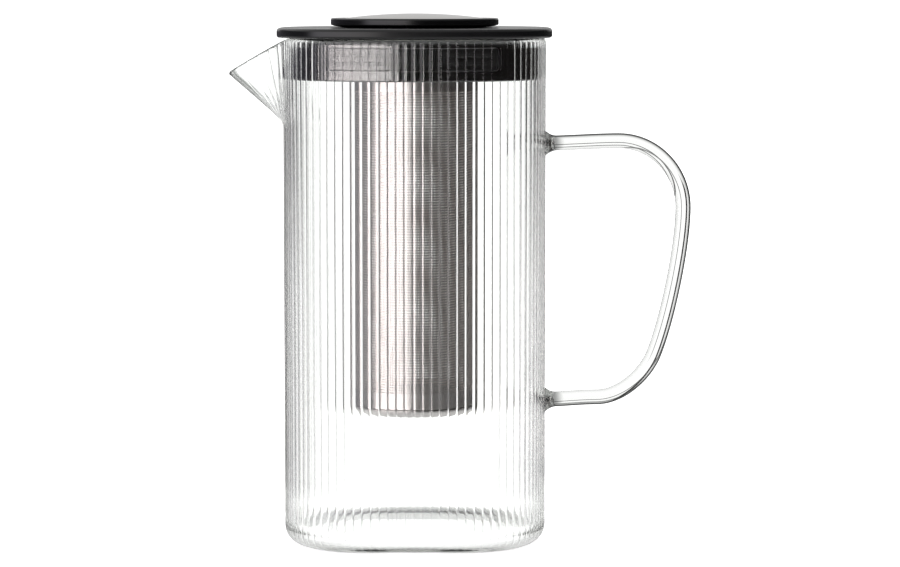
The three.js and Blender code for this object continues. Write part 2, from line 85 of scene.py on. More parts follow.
def node(tree, kind, sockets=None, **settings):
    """Adds a node with its settings, and links or sets its input sockets by name or number."""
    made = tree.nodes.new(kind)
    for name, value in settings.items():
        setattr(made, name, value)
    for key, value in (sockets or {}).items():
        if isinstance(value, bpy.types.Node):
            value = value.outputs[0]
        if isinstance(value, bpy.types.NodeSocket):
            tree.links.new(value, made.inputs[key])
        else:
            made.inputs[key].default_value = value
    return made


def linear(code):
    """An sRGB hex colour as the linear colour that shaders work in."""
    parts = [int(code[i:i + 2], 16) / 255 for i in (0, 2, 4)]
    bent = [p / 12.92 if p <= 0.04045 else ((p + 0.055) / 1.055) ** 2.4 for p in parts]
    return (*bent, 1)


print("white in linear light:", linear("FFFFFF"))

# %% [markdown]
# The camera looks at the front of the pitcher from a little above, with a long lens from well back, so
# that upright lines stay upright. Its place follows from the distance and the tilt, and no lens shift is
# needed.

# %% Camera
LENS = 124
CAMERA_DISTANCE = 1302
CAMERA_TILT = math.radians(5.5)
AIM_ASIDE = 14.7
AIM_HEIGHT = 106.0
AIM = Vector((AXIS_X + AIM_ASIDE, 0, AIM_HEIGHT)) * MM

camera = bpy.data.objects.new("camera", bpy.data.cameras.new("camera"))
camera.data.lens = LENS
back = Vector((0, -math.cos(CAMERA_TILT), math.sin(CAMERA_TILT)))
camera.location = AIM + back * CAMERA_DISTANCE * MM
camera.rotation_euler = (-back).to_track_quat("-Z", "Y").to_euler()
scene.collection.objects.link(camera)
scene.camera = camera
print("camera at", [round(c, 3) for c in camera.location])

# %% [markdown]
# Clear glass has no colour of its own: it shows what stands round it. A photographer puts it before a
# white backdrop, so that it stays bright, and sets a large soft box to the left of the camera, which lies
# as a picture on the steel and the plastic. The world does this with two rings of light. The outside ring
# is what the outer surfaces mirror. The inside ring is what the steel and the collar mirror through the
# glass, and its box is far brighter, because black plastic gives back only a twentieth of it. Each stop
# is a bearing in degrees from the camera to its left, a colour, and a brightness. The wall behind the
# pitcher is at 180.

# %% Studio light: what mirrored light finds
SURROUNDINGS = {
    "outside": [
        (-180, "FFFFFF", 0.03),
        (5.5, "FFFFFF", 0.03),
        (7.5, "FFFAFA", 1.9),
        (64, "FAF7FF", 1.9),
        (76, "DCD9E6", 0.14),
        (180, "DCD9E6", 0.14),
    ],
    "inside": [
        (-180, "FFE2D6", 0.03),
        (8.5, "FFE2D6", 0.03),
        (10, "FFFAFA", 15),
        (64, "FFF4F4", 15),
        (74, "D2CEE8", 0.16),
        (180, "D2CEE8", 0.16),
    ],
}

world = bpy.data.worlds.new("studio")
world.use_nodes = True
world.cycles.sampling_method = "NONE"
scene.world = world
tree = world.node_tree
tree.nodes.clear()
ray = node(tree, "ShaderNodeSeparateXYZ", {0: node(tree, "ShaderNodeTexCoord").outputs["Generated"]}).outputs
left = node(tree, MATH, {0: ray["X"], 1: -1}, operation="MULTIPLY")
forward = node(tree, MATH, {0: ray["Y"], 1: -1}, operation="MULTIPLY")
bearing = node(tree, MATH, {0: left, 1: forward}, operation="ARCTAN2")
around = node(tree, MAP_RANGE, {0: bearing, 1: -math.pi, 2: math.pi})
rings = {}
for where, stops in SURROUNDINGS.items():
    ring = node(tree, "ShaderNodeValToRGB", {"Fac": around})
    while len(ring.color_ramp.elements) < len(stops):
        ring.color_ramp.elements.new(1)
    for stop, (degrees, colour, brightness) in zip(ring.color_ramp.elements, stops):
        stop.position = degrees / 360 + 0.5
        stop.color = [part * brightness for part in linear(colour)[:3]] + [1]
    rings[where] = ring
    print("studio", where + ": soft box", max(stop[2] for stop in stops), "times white")

# %% [markdown]
# A ring alone would leave the studio without a wall and a ceiling. The wall behind the pitcher and the
# floor are a pale grey, and the ceiling is brighter to the left, over the soft box, which gives the steel
# dome its slow gradient. Heights here are the Z of a ray, the sine of its angle above the horizon. Light
# Path says how a ray came here: its transmission depth counts the surfaces of glass that it went
# through. Into the jug and out again is four, so more than three means light from inside.

# %% Studio light: the walls and the ceiling that mirrored light finds
WALL_LIGHT = 0.6
WALL_EDGE = (math.radians(150), math.radians(165))
WALL_FOOT = (0, 0.03)
FLOOR_EDGE = (-0.17, -0.22)
OVERHEAD = (0.8, 0.34)
OVERHEAD_SPAN = 0.5
OVERHEAD_EDGE = (0.22, 0.5)
OUT_OF_JUG = 3.5
MIX = "ShaderNodeMix"
MIX_COLOUR_A, MIX_COLOUR_B, MIX_COLOUR = 6, 7, 2

path = node(tree, "ShaderNodeLightPath").outputs
within = node(tree, MATH, {0: path["Transmission Depth"], 1: OUT_OF_JUG}, operation="GREATER_THAN")
by_place = {0: within, MIX_COLOUR_A: rings["outside"], MIX_COLOUR_B: rings["inside"]}
ring = node(tree, MIX, by_place, data_type="RGBA").outputs[MIX_COLOUR]
turned = node(tree, MATH, {0: bearing}, operation="ABSOLUTE")
behind = node(tree, MAP_RANGE, {0: turned, 1: WALL_EDGE[0], 2: WALL_EDGE[1]})
rising = node(tree, MAP_RANGE, {0: ray["Z"], 1: WALL_FOOT[0], 2: WALL_FOOT[1]})
high_wall = node(tree, MATH, {0: behind, 1: rising}, operation="MULTIPLY")
sinking = node(tree, MAP_RANGE, {0: ray["Z"], 1: FLOOR_EDGE[0], 2: FLOOR_EDGE[1]})
wall = node(tree, MATH, {0: high_wall, 1: sinking}, operation="MAXIMUM")
grey = (WALL_LIGHT, WALL_LIGHT, WALL_LIGHT, 1)
by_wall = {0: wall, MIX_COLOUR_A: ring, MIX_COLOUR_B: grey}
walled = node(tree, MIX, by_wall, data_type="RGBA").outputs[MIX_COLOUR]
height = {0: ray["Z"], 1: OVERHEAD_EDGE[0], 2: OVERHEAD_EDGE[1]}
steep = node(tree, MAP_RANGE, height, interpolation_type="SMOOTHSTEP")
across = {0: ray["X"], 1: -OVERHEAD_SPAN, 2: OVERHEAD_SPAN, 3: OVERHEAD[0], 4: OVERHEAD[1]}
ceiling = node(tree, MAP_RANGE, across)
by_height = {0: steep, MIX_COLOUR_A: walled, MIX_COLOUR_B: ceiling}
room = node(tree, MIX, by_height, data_type="RGBA").outputs[MIX_COLOUR]
print("studio: wall", WALL_LIGHT, "and ceiling", OVERHEAD[0], "to the left,", OVERHEAD[1], "to the right")

# %% [markdown]
# A ray that only went through the glass finds the white backdrop. There is one backdrop for each of the
# four sides, so that the pitcher can be seen from all round, and a modulo folds the bearing into the
# angle from the nearest one. Dark strips stand upright beside each backdrop and two dark rails lie above
# it. Where the glass bends light far enough to reach them, they draw the thin dark lines that give it an
# outline. They end just below the horizon, and are fainter through both walls of the jug. Each is given
# by where it begins, is full, starts to fade and ends, and by how dark it is.

# %% Studio light: the white backdrop with its strips and rails
WHITE = 1.15
WHITE_BEHIND_JUG = 1.5
FLOOR_LIGHT = 1.0
STRIPS = [(-19.5, -18, -10, -9, 1.0), (9.5, 10.5, 13.5, 14.5, 0.75)]
RAILS = [(0.06, 0.08, 0.12, 0.14, 0.9), (0.32, 0.34, 0.40, 0.42, 0.9)]
STRIP_FOOT = (-0.21, -0.16)
ONE_WALL = (2, 3)
STRIP_THROUGH_JUG = 0.3
ANY = 0.5
MIX_VALUE_A, MIX_VALUE_B = 2, 3

turned_on = node(tree, MATH, {0: bearing, 1: math.pi / 4}, operation="ADD")
folded = node(tree, MATH, {0: turned_on, 1: math.pi / 2}, operation="FLOORED_MODULO")
off_backdrop = node(tree, MATH, {0: folded, 1: math.pi / 4}, operation="SUBTRACT")
strip_foot = node(tree, MAP_RANGE, {0: ray["Z"], 1: STRIP_FOOT[0], 2: STRIP_FOOT[1]})
strip = 0
upright = [(off_backdrop, [math.radians(angle) for angle in edges], strength) for *edges, strength in STRIPS]
level = [(ray["Z"], edges, strength) for *edges, strength in RAILS]
for angle, (low, full, fading, high), strength in upright + level:
    begins = node(tree, MAP_RANGE, {0: angle, 1: low, 2: full, 4: strength})
    ends = node(tree, MAP_RANGE, {0: angle, 1: high, 2: fading})
    one = node(tree, MATH, {0: begins, 1: ends}, operation="MULTIPLY")
    above_foot = node(tree, MATH, {0: one, 1: strip_foot}, operation="MULTIPLY")
    strip = node(tree, MATH, {0: strip, 1: above_foot}, operation="MAXIMUM")
passed = {0: path["Transmission Depth"], 1: ONE_WALL[0], 2: ONE_WALL[1], 3: 1, 4: STRIP_THROUGH_JUG}
walls = node(tree, MAP_RANGE, passed)
strip = node(tree, MATH, {0: strip, 1: walls}, operation="MULTIPLY")
through = node(tree, MATH, {0: path["Transmission Depth"], 1: ANY}, operation="GREATER_THAN")
seen_strip = node(tree, MATH, {0: strip, 1: through}, operation="MULTIPLY")
clear = node(tree, MATH, {0: 1, 1: seen_strip}, operation="SUBTRACT")
white = node(tree, MAP_RANGE, {0: within, 3: WHITE, 4: WHITE_BEHIND_JUG})
backdrop = node(tree, MATH, {0: clear, 1: white}, operation="MULTIPLY")
on_floor = node(tree, MATH, {0: path["Diffuse Depth"], 1: ANY}, operation="GREATER_THAN")
plain = node(tree, MIX, {0: on_floor, MIX_VALUE_A: backdrop, MIX_VALUE_B: FLOOR_LIGHT})
print("backdrop: white", WHITE, "with", len(STRIPS), "strips and", len(RAILS), "rails")

# %% [markdown]
# Light that is mirrored inside the glass wall itself finds the plain white backdrop, which keeps the wall
# bright. Only towards the camera and at the height of the lid, where dark cards hang in a studio, does it
# find the room instead, so that the edges there keep their dark lines. Light that leaves the jug steeply
# finds white too. All other mirrored light finds the room. Rays may bounce often, because they cross
# many surfaces of glass, and a clamp keeps single bright paths from leaving sparks.

# %% Studio light: which light finds what
CARD_EDGE = (-0.1, -0.04)
CARD_REACH = math.radians(75)
NEAR_LEVEL = (-0.09, 0.25)
IN_WALL = (2, 1.5)

surfaces = {0: path["Transmission Depth"], 1: IN_WALL[0], 2: IN_WALL[1]}
in_glass = node(tree, MATH, surfaces, operation="COMPARE")
at_lid = node(tree, MAP_RANGE, {0: ray["Z"], 1: CARD_EDGE[0], 2: CARD_EDGE[1]})
in_front = node(tree, MATH, {0: turned, 1: WALL_EDGE[0]}, operation="LESS_THAN")
lid_card = node(tree, MATH, {0: at_lid, 1: in_front}, operation="MULTIPLY")
camera_side = node(tree, MATH, {0: turned, 1: CARD_REACH}, operation="LESS_THAN")
carded = node(tree, MATH, {0: lid_card, 1: camera_side}, operation="MAXIMUM")
uncarded = node(tree, MATH, {0: 1, 1: carded}, operation="SUBTRACT")
bare = node(tree, MATH, {0: in_glass, 1: uncarded}, operation="MULTIPLY")
near_level = node(tree, MATH, {0: ray["Z"], 1: NEAR_LEVEL[0], 2: NEAR_LEVEL[1]}, operation="COMPARE")
steeply = node(tree, MATH, {0: within, 1: near_level}, operation="GREATER_THAN")
glass_only = node(tree, MATH, {0: bare, 1: steeply}, operation="MAXIMUM")
bounced = node(tree, MATH, {0: path["Glossy Depth"], 1: ANY}, operation="GREATER_THAN")
by_others = node(tree, MATH, {0: 1, 1: glass_only}, operation="SUBTRACT")
mirrored = node(tree, MATH, {0: bounced, 1: by_others}, operation="MULTIPLY")
by_path = {0: mirrored, MIX_COLOUR_A: plain, MIX_COLOUR_B: room}
seen = node(tree, MIX, by_path, data_type="RGBA").outputs[MIX_COLOUR]
light = node(tree, "ShaderNodeBackground", {"Color": seen})
node(tree, "ShaderNodeOutputWorld", {"Surface": light})
scene.view_settings.view_transform = "Standard"
scene.cycles.max_bounces = 32
scene.cycles.transmission_bounces = 24
scene.cycles.glossy_bounces = 24
scene.cycles.sample_clamp_indirect = 4
print("studio:", len(tree.nodes), "nodes")

# %% [markdown]
# The floor is a pale, even sheet. Rays that come through the glass or off the steel pass it by and find
# the studio, as they would if the pitcher stood on a clear pane with white far below. A slight glow of
# its own keeps the paper white up to the horizon, as a lamp under the table does.

# %% Pale floor
FLOOR_SIZE = 40
FLOOR_GLOW = 0.75


def finish(name):
    """A new material, its node tree, and its Principled shader."""
    material = bpy.data.materials.new(name)
    material.use_nodes = True
    return material, material.node_tree, material.node_tree.nodes["Principled BSDF"]


floor_mesh = bpy.data.meshes.new("floor")
corners = [(x * FLOOR_SIZE / 2, y * FLOOR_SIZE / 2, 0) for x, y in ((-1, -1), (1, -1), (1, 1), (-1, 1))]
floor_mesh.from_pydata(corners, [], [(0, 1, 2, 3)])
floor = bpy.data.objects.new("floor", floor_mesh)
scene.collection.objects.link(floor)
paper, tree, shader = finish("pale_paper")
shader.inputs["Base Color"].default_value = linear("F4F4F4")
shader.inputs["Roughness"].default_value = 1
shader.inputs["Specular IOR Level"].default_value = 0
shader.inputs["Emission Color"].default_value = linear("FFFFFF")
shader.inputs["Emission Strength"].default_value = FLOOR_GLOW
floor_mesh.materials.append(paper)
floor.visible_glossy = False
floor.visible_transmission = False
print("floor", FLOOR_SIZE, "m wide")

# %% [markdown]
# ** Clear glass, twice.** The jug is pressed borosilicate, fire-polished after moulding, so its surface is
# smooth but never quite even: a slow ripple of a few thousandths of a millimetre remains. The handle is
# drawn rod. Seen along its surface, glass shows the darker things that stand beside it, so each glass
# gets a painted shade, a darker tint that begins where the surface turns away from the eye. On the rod the
# painted shade is strongest on the outer side of the loop, and the welds are tinted darker. On the jug the
# lip and the keel of the spout get a grey painted shade, and the ring that it stands on is scuffed. These
# places come as values that the shapes store on their points. Volume Absorption does the rest: it darkens
# by the length of the path inside the glass.

# %% Clear glass
GLASS_IOR = 1.473
GLASS_COLOUR = "FDFEFD"
DEPTH_COLOUR = "D9DAD4"
RIPPLE_WIDTH = 14
RIPPLE_HEIGHT = 0.006
# Painted shade: each glass darkens towards its colour here where its surface turns from the eye. This stands
# in for the darker surroundings that it would show. The last value is the absorption density.
EDGE = {"fire_polished_glass": (0.75, 1.0, "8A8D89", 8), "drawn_rod_glass": (0.1, 0.42, "080908", 30)}
OUTER_SIDE = (0.2, 0.8)
INNER_EDGE = 0.25
WELD_SMOKE = 0.7
LIP_EDGE = (0.15, 0.4)
LIP_COLOUR = "5A5D5A"
SCUFF = 0.4
ATTRIBUTE = "ShaderNodeAttribute"

glasses = {}
for name, (edge_start, edge_end, edge_colour, density) in EDGE.items():
    glasses[name], tree, shader = finish(name)
    shader.inputs["Transmission Weight"].default_value = 1
    shader.inputs["IOR"].default_value = GLASS_IOR
    shader.inputs["Roughness"].default_value = 0
    facing = node(tree, "ShaderNodeLayerWeight", {"Blend": 0.5}).outputs["Facing"]
    edge = node(tree, MAP_RANGE, {0: facing, 1: edge_start, 2: edge_end})
    if name == "drawn_rod_glass":
        # The painted edge shade is strongest on the outer side of the loop.
        outer = node(tree, ATTRIBUTE, attribute_name="outer").outputs["Fac"]
        side = node(tree, MAP_RANGE, {0: outer, 1: OUTER_SIDE[0], 2: OUTER_SIDE[1], 3: INNER_EDGE, 4: 1})
        edge = node(tree, MATH, {0: edge, 1: side}, operation="MULTIPLY")
        # The welds are tinted darker.
        weld = node(tree, ATTRIBUTE, attribute_name="weld").outputs["Fac"]
        smoke = node(tree, MATH, {0: weld, 1: WELD_SMOKE}, operation="MULTIPLY")
        edge = node(tree, MATH, {0: edge, 1: smoke}, operation="MAXIMUM")
    tints = {0: edge, MIX_COLOUR_A: linear(GLASS_COLOUR), MIX_COLOUR_B: linear(edge_colour)}
    tone = node(tree, MIX, tints, data_type="RGBA").outputs[MIX_COLOUR]
    # The lip and keel of the spout get a grey painted shade where they turn from the eye.
    if name == "fire_polished_glass":
        thick = node(tree, ATTRIBUTE, attribute_name="thick").outputs["Fac"]
        lip_edge = node(tree, MAP_RANGE, {0: facing, 1: LIP_EDGE[0], 2: LIP_EDGE[1]})
        lip = node(tree, MATH, {0: thick, 1: lip_edge}, operation="MULTIPLY")
        tints = {0: lip, MIX_COLOUR_A: tone, MIX_COLOUR_B: linear(LIP_COLOUR)}
        tone = node(tree, MIX, tints, data_type="RGBA").outputs[MIX_COLOUR]
        scuffed = node(tree, ATTRIBUTE, attribute_name="scuffed").outputs["Fac"]
        matt = node(tree, MAP_RANGE, {0: scuffed, 4: SCUFF})
        tree.links.new(matt.outputs[0], shader.inputs["Roughness"])
    tree.links.new(tone, shader.inputs["Base Color"])
    place = node(tree, "ShaderNodeTexCoord").outputs["Object"]
    waves = {"Vector": place, "Scale": 1 / (RIPPLE_WIDTH * MM), "Detail": 1}
    ripple = node(tree, "ShaderNodeTexNoise", waves)
    bump = node(tree, "ShaderNodeBump", {"Height": ripple, "Distance": RIPPLE_HEIGHT * MM})
    tree.links.new(bump.outputs[0], shader.inputs["Normal"])
    depth = node(tree, "ShaderNodeVolumeAbsorption", {"Color": linear(DEPTH_COLOUR), "Density": density})
    tree.links.new(depth.outputs[0], tree.nodes["Material Output"].inputs["Volume"])
    print("material", name)
clear_glass = glasses["fire_polished_glass"]
rod_glass = glasses["drawn_rod_glass"]

# %% [markdown]
# **Black ABS, twice.** The cover and the cap are injection moulded in a steel mould with a fine satin
# texture, which spreads the highlight. The collar comes from a polished mould, so the soft box stands on
# it as a clear patch. Where hands and cloths have rubbed them, both are a little glossier. The grain of a
# mould is under 0.1 mm, too fine for this picture, so it is drawn several times coarser.

# %% Black plastic
ABS_IOR = 1.54
ABS_TONES = ("020203", "0A0A0C")
GRAIN = 0.8
GRAIN_HEIGHT = 0.006
POLISH = 22
GLOSS = {"satin_black_abs": (0.2, 0.28, 0.5), "polished_black_abs": (0.1, 0.16, 0.8)}
NOISE_SPAN = (0.3, 0.7)

plastics = {}
for name, (smoothest, roughest, shine) in GLOSS.items():
    plastics[name], tree, shader = finish(name)
    shader.inputs["IOR"].default_value = ABS_IOR
    shader.inputs["Specular IOR Level"].default_value = shine
    place = node(tree, "ShaderNodeTexCoord").outputs["Object"]
    grain = node(tree, "ShaderNodeTexNoise", {"Vector": place, "Scale": 1 / (GRAIN * MM), "Detail": 3})
    polish = node(tree, "ShaderNodeTexNoise", {"Vector": place, "Scale": 1 / (POLISH * MM), "Detail": 4})
    tone = node(tree, "ShaderNodeValToRGB", {"Fac": polish})
    for stop, code in zip(tone.color_ramp.elements, ABS_TONES):
        stop.color = linear(code)
    tree.links.new(tone.outputs[0], shader.inputs["Base Color"])
    rubbed = {0: polish, 1: NOISE_SPAN[0], 2: NOISE_SPAN[1], 3: smoothest, 4: roughest}
    tree.links.new(node(tree, MAP_RANGE, rubbed).outputs[0], shader.inputs["Roughness"])
    bump = node(tree, "ShaderNodeBump", {"Height": grain, "Distance": GRAIN_HEIGHT * roughest * MM})
    tree.links.new(bump.outputs[0], shader.inputs["Normal"])
    print("material", name)
black_plastic = plastics["satin_black_abs"]
polished_plastic = plastics["polished_black_abs"]

# %% [markdown]
# **Black silicone.** The pads and rings are cast in a smooth mould, and they press on the glass, so they
# gloss about as much as the collar that they sit in. Faint dust keeps them from being quite as black.

# %% Black silicone
SILICONE_IOR = 1.43
SILICONE_SHINE = 0.9
SILICONE_GLOSS = (0.12, 0.18)
SILICONE_TONES = ("09090A", "101013")
DUST = 1.6
DUST_HEIGHT = 0.012

black_silicone, tree, shader = finish("cast_black_silicone")
shader.inputs["IOR"].default_value = SILICONE_IOR
shader.inputs["Specular IOR Level"].default_value = SILICONE_SHINE
place = node(tree, "ShaderNodeTexCoord").outputs["Object"]
dust = node(tree, "ShaderNodeTexNoise", {"Vector": place, "Scale": 1 / (DUST * MM), "Detail": 6})
tone = node(tree, "ShaderNodeValToRGB", {"Fac": dust})
for stop, code in zip(tone.color_ramp.elements, SILICONE_TONES):
    stop.color = linear(code)
tree.links.new(tone.outputs[0], shader.inputs["Base Color"])
dusty = {0: dust, 1: NOISE_SPAN[0], 2: NOISE_SPAN[1], 3: SILICONE_GLOSS[0], 4: SILICONE_GLOSS[1]}
tree.links.new(node(tree, MAP_RANGE, dusty).outputs[0], shader.inputs["Roughness"])
bump = node(tree, "ShaderNodeBump", {"Height": dust, "Distance": DUST_HEIGHT * MM})
tree.links.new(bump.outputs[0], shader.inputs["Normal"])
print("material", black_silicone.name)

# %% [markdown]
# ** Stainless steel, twice.** The infuser is bright rolled sheet, bent into a tube, so fine rolling lines
# run round it, and its mirror image is a little blurred. Real rolling lines are some hundredths of a
# millimetre apart, and are drawn coarser here. The inside of the tube is shaded as a pale matte non-metal.
# This is painted light, a pale colour that stands in for the light seen through the holes, so that they
# show as a brighter grey. Metals keep the default IOR: their colour and roughness say the rest.

# %% Infuser steel
ROLL_LINE = 0.25
ROLL_LENGTH = 9
ROLL_HEIGHT = 0.004
ROLL_GLOSS = (0.28, 0.3)
ROLL_TONES = ("A09D9D", "B2AFAE")
PICKLED_COLOUR = "EFE6E1"
PICKLED_ROUGHNESS = 0.8

infuser_steel, tree, shader = finish("bright_rolled_stainless")
place = node(tree, "ShaderNodeTexCoord").outputs["Object"]
grid_scale = (1 / (ROLL_LENGTH * MM), 1 / (ROLL_LENGTH * MM), 1 / (ROLL_LINE * MM))
stretch = node(tree, "ShaderNodeMapping", {"Vector": place, "Scale": grid_scale})
lines = node(tree, "ShaderNodeTexNoise", {"Vector": stretch, "Scale": 1, "Detail": 3})
tone = node(tree, "ShaderNodeValToRGB", {"Fac": lines})
for stop, code in zip(tone.color_ramp.elements, ROLL_TONES):
    stop.color = linear(code)
# Painted light: the inside is a pale matte non-metal whose brightness stands in for the light seen through
# the holes.
inside = node(tree, ATTRIBUTE, attribute_name="inside").outputs["Fac"]
sides = {0: inside, MIX_COLOUR_A: tone, MIX_COLOUR_B: linear(PICKLED_COLOUR)}
colour = node(tree, MIX, sides, data_type="RGBA").outputs[MIX_COLOUR]
tree.links.new(colour, shader.inputs["Base Color"])
metal = node(tree, MAP_RANGE, {0: inside, 3: 1, 4: 0})
tree.links.new(metal.outputs[0], shader.inputs["Metallic"])
rolled = {0: lines, 1: NOISE_SPAN[0], 2: NOISE_SPAN[1], 3: ROLL_GLOSS[0], 4: ROLL_GLOSS[1]}
blur = node(tree, MAP_RANGE, rolled)
dull = node(tree, MAP_RANGE, {0: inside, 3: blur, 4: PICKLED_ROUGHNESS})
tree.links.new(dull.outputs[0], shader.inputs["Roughness"])
bump = node(tree, "ShaderNodeBump", {"Height": lines, "Distance": ROLL_HEIGHT * MM})
tree.links.new(bump.outputs[0], shader.inputs["Normal"])
print("material", infuser_steel.name)

# %% [markdown]
# The disc in the cap is buffed: nearly a mirror, with only the faint rings that the buffing wheel leaves
# as the disc spins. The rings are a noise in one dimension, the distance from the axis.

# %% Dome steel
BUFF_LINE = 0.4
BUFF_GLOSS = (0.07, 0.13)
BUFF_TONES = ("C9C5C1", "E4E0DC")

dome_steel, tree, shader = finish("buffed_stainless")
shader.inputs["Metallic"].default_value = 1
place = node(tree, "ShaderNodeTexCoord").outputs["Object"]
centred = node(tree, "ShaderNodeMapping", {"Vector": place, "Location": (-AXIS[0], 0, 0)})
across = node(tree, "ShaderNodeSeparateXYZ", {0: centred})
flat = node(tree, "ShaderNodeCombineXYZ", {"X": across.outputs["X"], "Y": across.outputs["Y"]})
radius = node(tree, VECTOR, {0: flat}, operation="LENGTH").outputs["Value"]
spun = {"W": radius, "Scale": 1 / (BUFF_LINE * MM), "Detail": 2}
rings = node(tree, "ShaderNodeTexNoise", spun, noise_dimensions="1D")
tone = node(tree, "ShaderNodeValToRGB", {"Fac": rings})
for stop, code in zip(tone.color_ramp.elements, BUFF_TONES):
    stop.color = linear(code)
tree.links.new(tone.outputs[0], shader.inputs["Base Color"])
buffed = {0: rings, 1: NOISE_SPAN[0], 2: NOISE_SPAN[1], 3: BUFF_GLOSS[0], 4: BUFF_GLOSS[1]}
tree.links.new(node(tree, MAP_RANGE, buffed).outputs[0], shader.inputs["Roughness"])
print("material", dome_steel.name)

# %% [markdown]
# ## One lathe for every turned piece
# Nearly every piece of the pitcher is a section carried round the axis. On the infuser and the cap the
# path is a circle. On the glass and the lid it is a superellipse, the square with very round corners. A
# Screw modifier turns only circles, so a Geometry Nodes tree does it: it lays a grid, takes each row's
# half-width and height from the section, and each column's place from the outline. Five values that are
# stored on the section's points say how far a rule holds there: flute, spout, foot, round and rim.

# %% Geometry Nodes: the square-round lathe
LATHE_SIZES = {
    "Points Round": ("Int", 208),
    "Squareness": ("Float", 3.1),
    "Half Width": ("Float", BODY_HALF * MM),
    "Axis": ("Vector", AXIS),
    "Flutes": ("Int", 1),
    "Flute Depth": ("Float", 0.0),
    "Ridge Crowding": ("Float", 0.0),
    "Ridge Round": ("Float", 0.1),
    "Flute Flatness": ("Float", 2.0),
    "Spout Reach": ("Float", 0.0),
    "Spout Drop": ("Float", 0.0),
    "Spout Arc": ("Float", 1.0),
    "Spout Pinch": ("Float", 0.0),
    "Foot Arch": ("Float", 0.0),
    "Lobe Angle": ("Float", 0.0),
}
OUTLINE_POINTS = 4096
MERGE_WITHIN = 1e-6


def new_tree(name, geometry, sizes):
    """A Geometry Nodes tree with a named input for each size, and the sockets of these inputs."""
    made = bpy.data.node_groups.new(name, "GeometryNodeTree")
    made.interface.new_socket(geometry, in_out="INPUT", socket_type="NodeSocketGeometry")
    for label, (kind, value) in sizes.items():
        socket = made.interface.new_socket(label, in_out="INPUT", socket_type="NodeSocket" + kind)
        socket.default_value = value
    made.interface.new_socket("Material", in_out="INPUT", socket_type="NodeSocketMaterial")
    made.interface.new_socket("Piece", in_out="OUTPUT", socket_type="NodeSocketGeometry")
    return made, node(made, "NodeGroupInput").outputs


def end_tree(tree, skin, material):
    """Ends a tree: smooth shading, instances made real, the material set, and the piece handed out."""
    smooth = node(tree, "GeometryNodeSetShadeSmooth", {"Geometry": skin})
    real = node(tree, "GeometryNodeRealizeInstances", {"Geometry": smooth})
    coated = node(tree, "GeometryNodeSetMaterial", {"Geometry": real, "Material": material})
    node(tree, "NodeGroupOutput", {"Piece": coated})
    print(tree.name, "tree:", len(tree.nodes), "nodes")


lathe_tree, size = new_tree("square_round_lathe", "Section", LATHE_SIZES)
tree = lathe_tree
counted = node(tree, "GeometryNodeAttributeDomainSize", {0: size["Section"]}, component="MESH")
rows = counted.outputs["Point Count"]
columns = node(tree, MATH, {0: size["Points Round"], 1: 1}, operation="ADD")
grid = node(tree, "GeometryNodeMeshGrid", {"Vertices X": columns, "Vertices Y": rows})
index = node(tree, "GeometryNodeInputIndex")
column = node(tree, MATH, {0: node(tree, MATH, {0: index, 1: rows}, operation="DIVIDE")}, operation="FLOOR")
row = node(tree, MATH, {0: index, 1: rows}, operation="MODULO")
own_row = {"Geometry": size["Section"], "Index": row}
point = {**own_row, "Value": node(tree, "GeometryNodeInputPosition")}
here = node(tree, "GeometryNodeSampleIndex", point, data_type="FLOAT_VECTOR")
section_at = node(tree, "ShaderNodeSeparateXYZ", {0: here}).outputs
share = {}
for label in ("flute", "spout", "foot", "round", "rim"):
    stored = node(tree, "GeometryNodeInputNamedAttribute", {"Name": label}, data_type="FLOAT")
    share[label] = node(tree, "GeometryNodeSampleIndex", {**own_row, "Value": stored}, data_type="FLOAT")
print("lathe: rows come from the section, columns from the outline")

# %% [markdown]
# The flutes are shallow hollows between thin ridges. Columns crowd together at the ridges, where the
# surface turns quickly, and are wide apart in the hollows, where it is nearly flat. A circle whose
# coordinates are raised to a power is the superellipse, and sampling it by its length spaces the flutes
# evenly.

# %% Lathe, part two: places round the outline, crowded at the ridges
MIX_VECTOR_A, MIX_VECTOR_B, MIX_VECTOR = 4, 5, 1

steps = node(tree, MATH, {0: size["Points Round"], 1: size["Flutes"]}, operation="DIVIDE")
even = node(tree, MATH, {0: column, 1: steps}, operation="DIVIDE")
wave = node(tree, MATH, {0: node(tree, MATH, {0: even, 1: math.tau}, operation="MULTIPLY")}, operation="SINE")
crowd = node(tree, MATH, {0: size["Ridge Crowding"], 1: -math.tau}, operation="DIVIDE")
flute_at = node(tree, MATH, {0: wave, 1: crowd, 2: even}, operation="MULTIPLY_ADD")
turned = node(tree, MATH, {0: flute_at, 1: size["Flutes"]}, operation="DIVIDE")
turn = node(tree, MATH, {0: turned}, operation="FRACT")
circle = node(tree, "GeometryNodeCurvePrimitiveCircle", {"Resolution": OUTLINE_POINTS, "Radius": 1})
on_circle = node(tree, "GeometryNodeInputPosition")
power = node(tree, MATH, {0: 2, 1: size["Squareness"]}, operation="DIVIDE")
unsigned = node(tree, VECTOR, {0: on_circle}, operation="ABSOLUTE")
bent = node(tree, VECTOR, {0: unsigned, 1: power}, operation="POWER")
signs = node(tree, VECTOR, {0: on_circle}, operation="SIGN")
squared = node(tree, VECTOR, {0: bent, 1: signs}, operation="MULTIPLY")
outline = node(tree, "GeometryNodeSetPosition", {"Geometry": circle, "Position": squared})
square_at = node(tree, "GeometryNodeSampleCurve", {"Curves": outline, "Factor": turn}, use_all_curves=True)
circle_at = node(tree, "GeometryNodeSampleCurve", {"Curves": circle, "Factor": turn}, use_all_curves=True)
ends = {MIX_VECTOR_A: square_at.outputs["Position"], MIX_VECTOR_B: circle_at.outputs["Position"]}
ring_at = node(tree, MIX, {0: share["round"], **ends}, data_type="VECTOR").outputs[MIX_VECTOR]
wide = node(tree, VECTOR, {0: ring_at, "Scale": section_at["X"]}, operation="SCALE")
print("lathe: outline of", OUTLINE_POINTS, "points, sampled at equal steps of length")
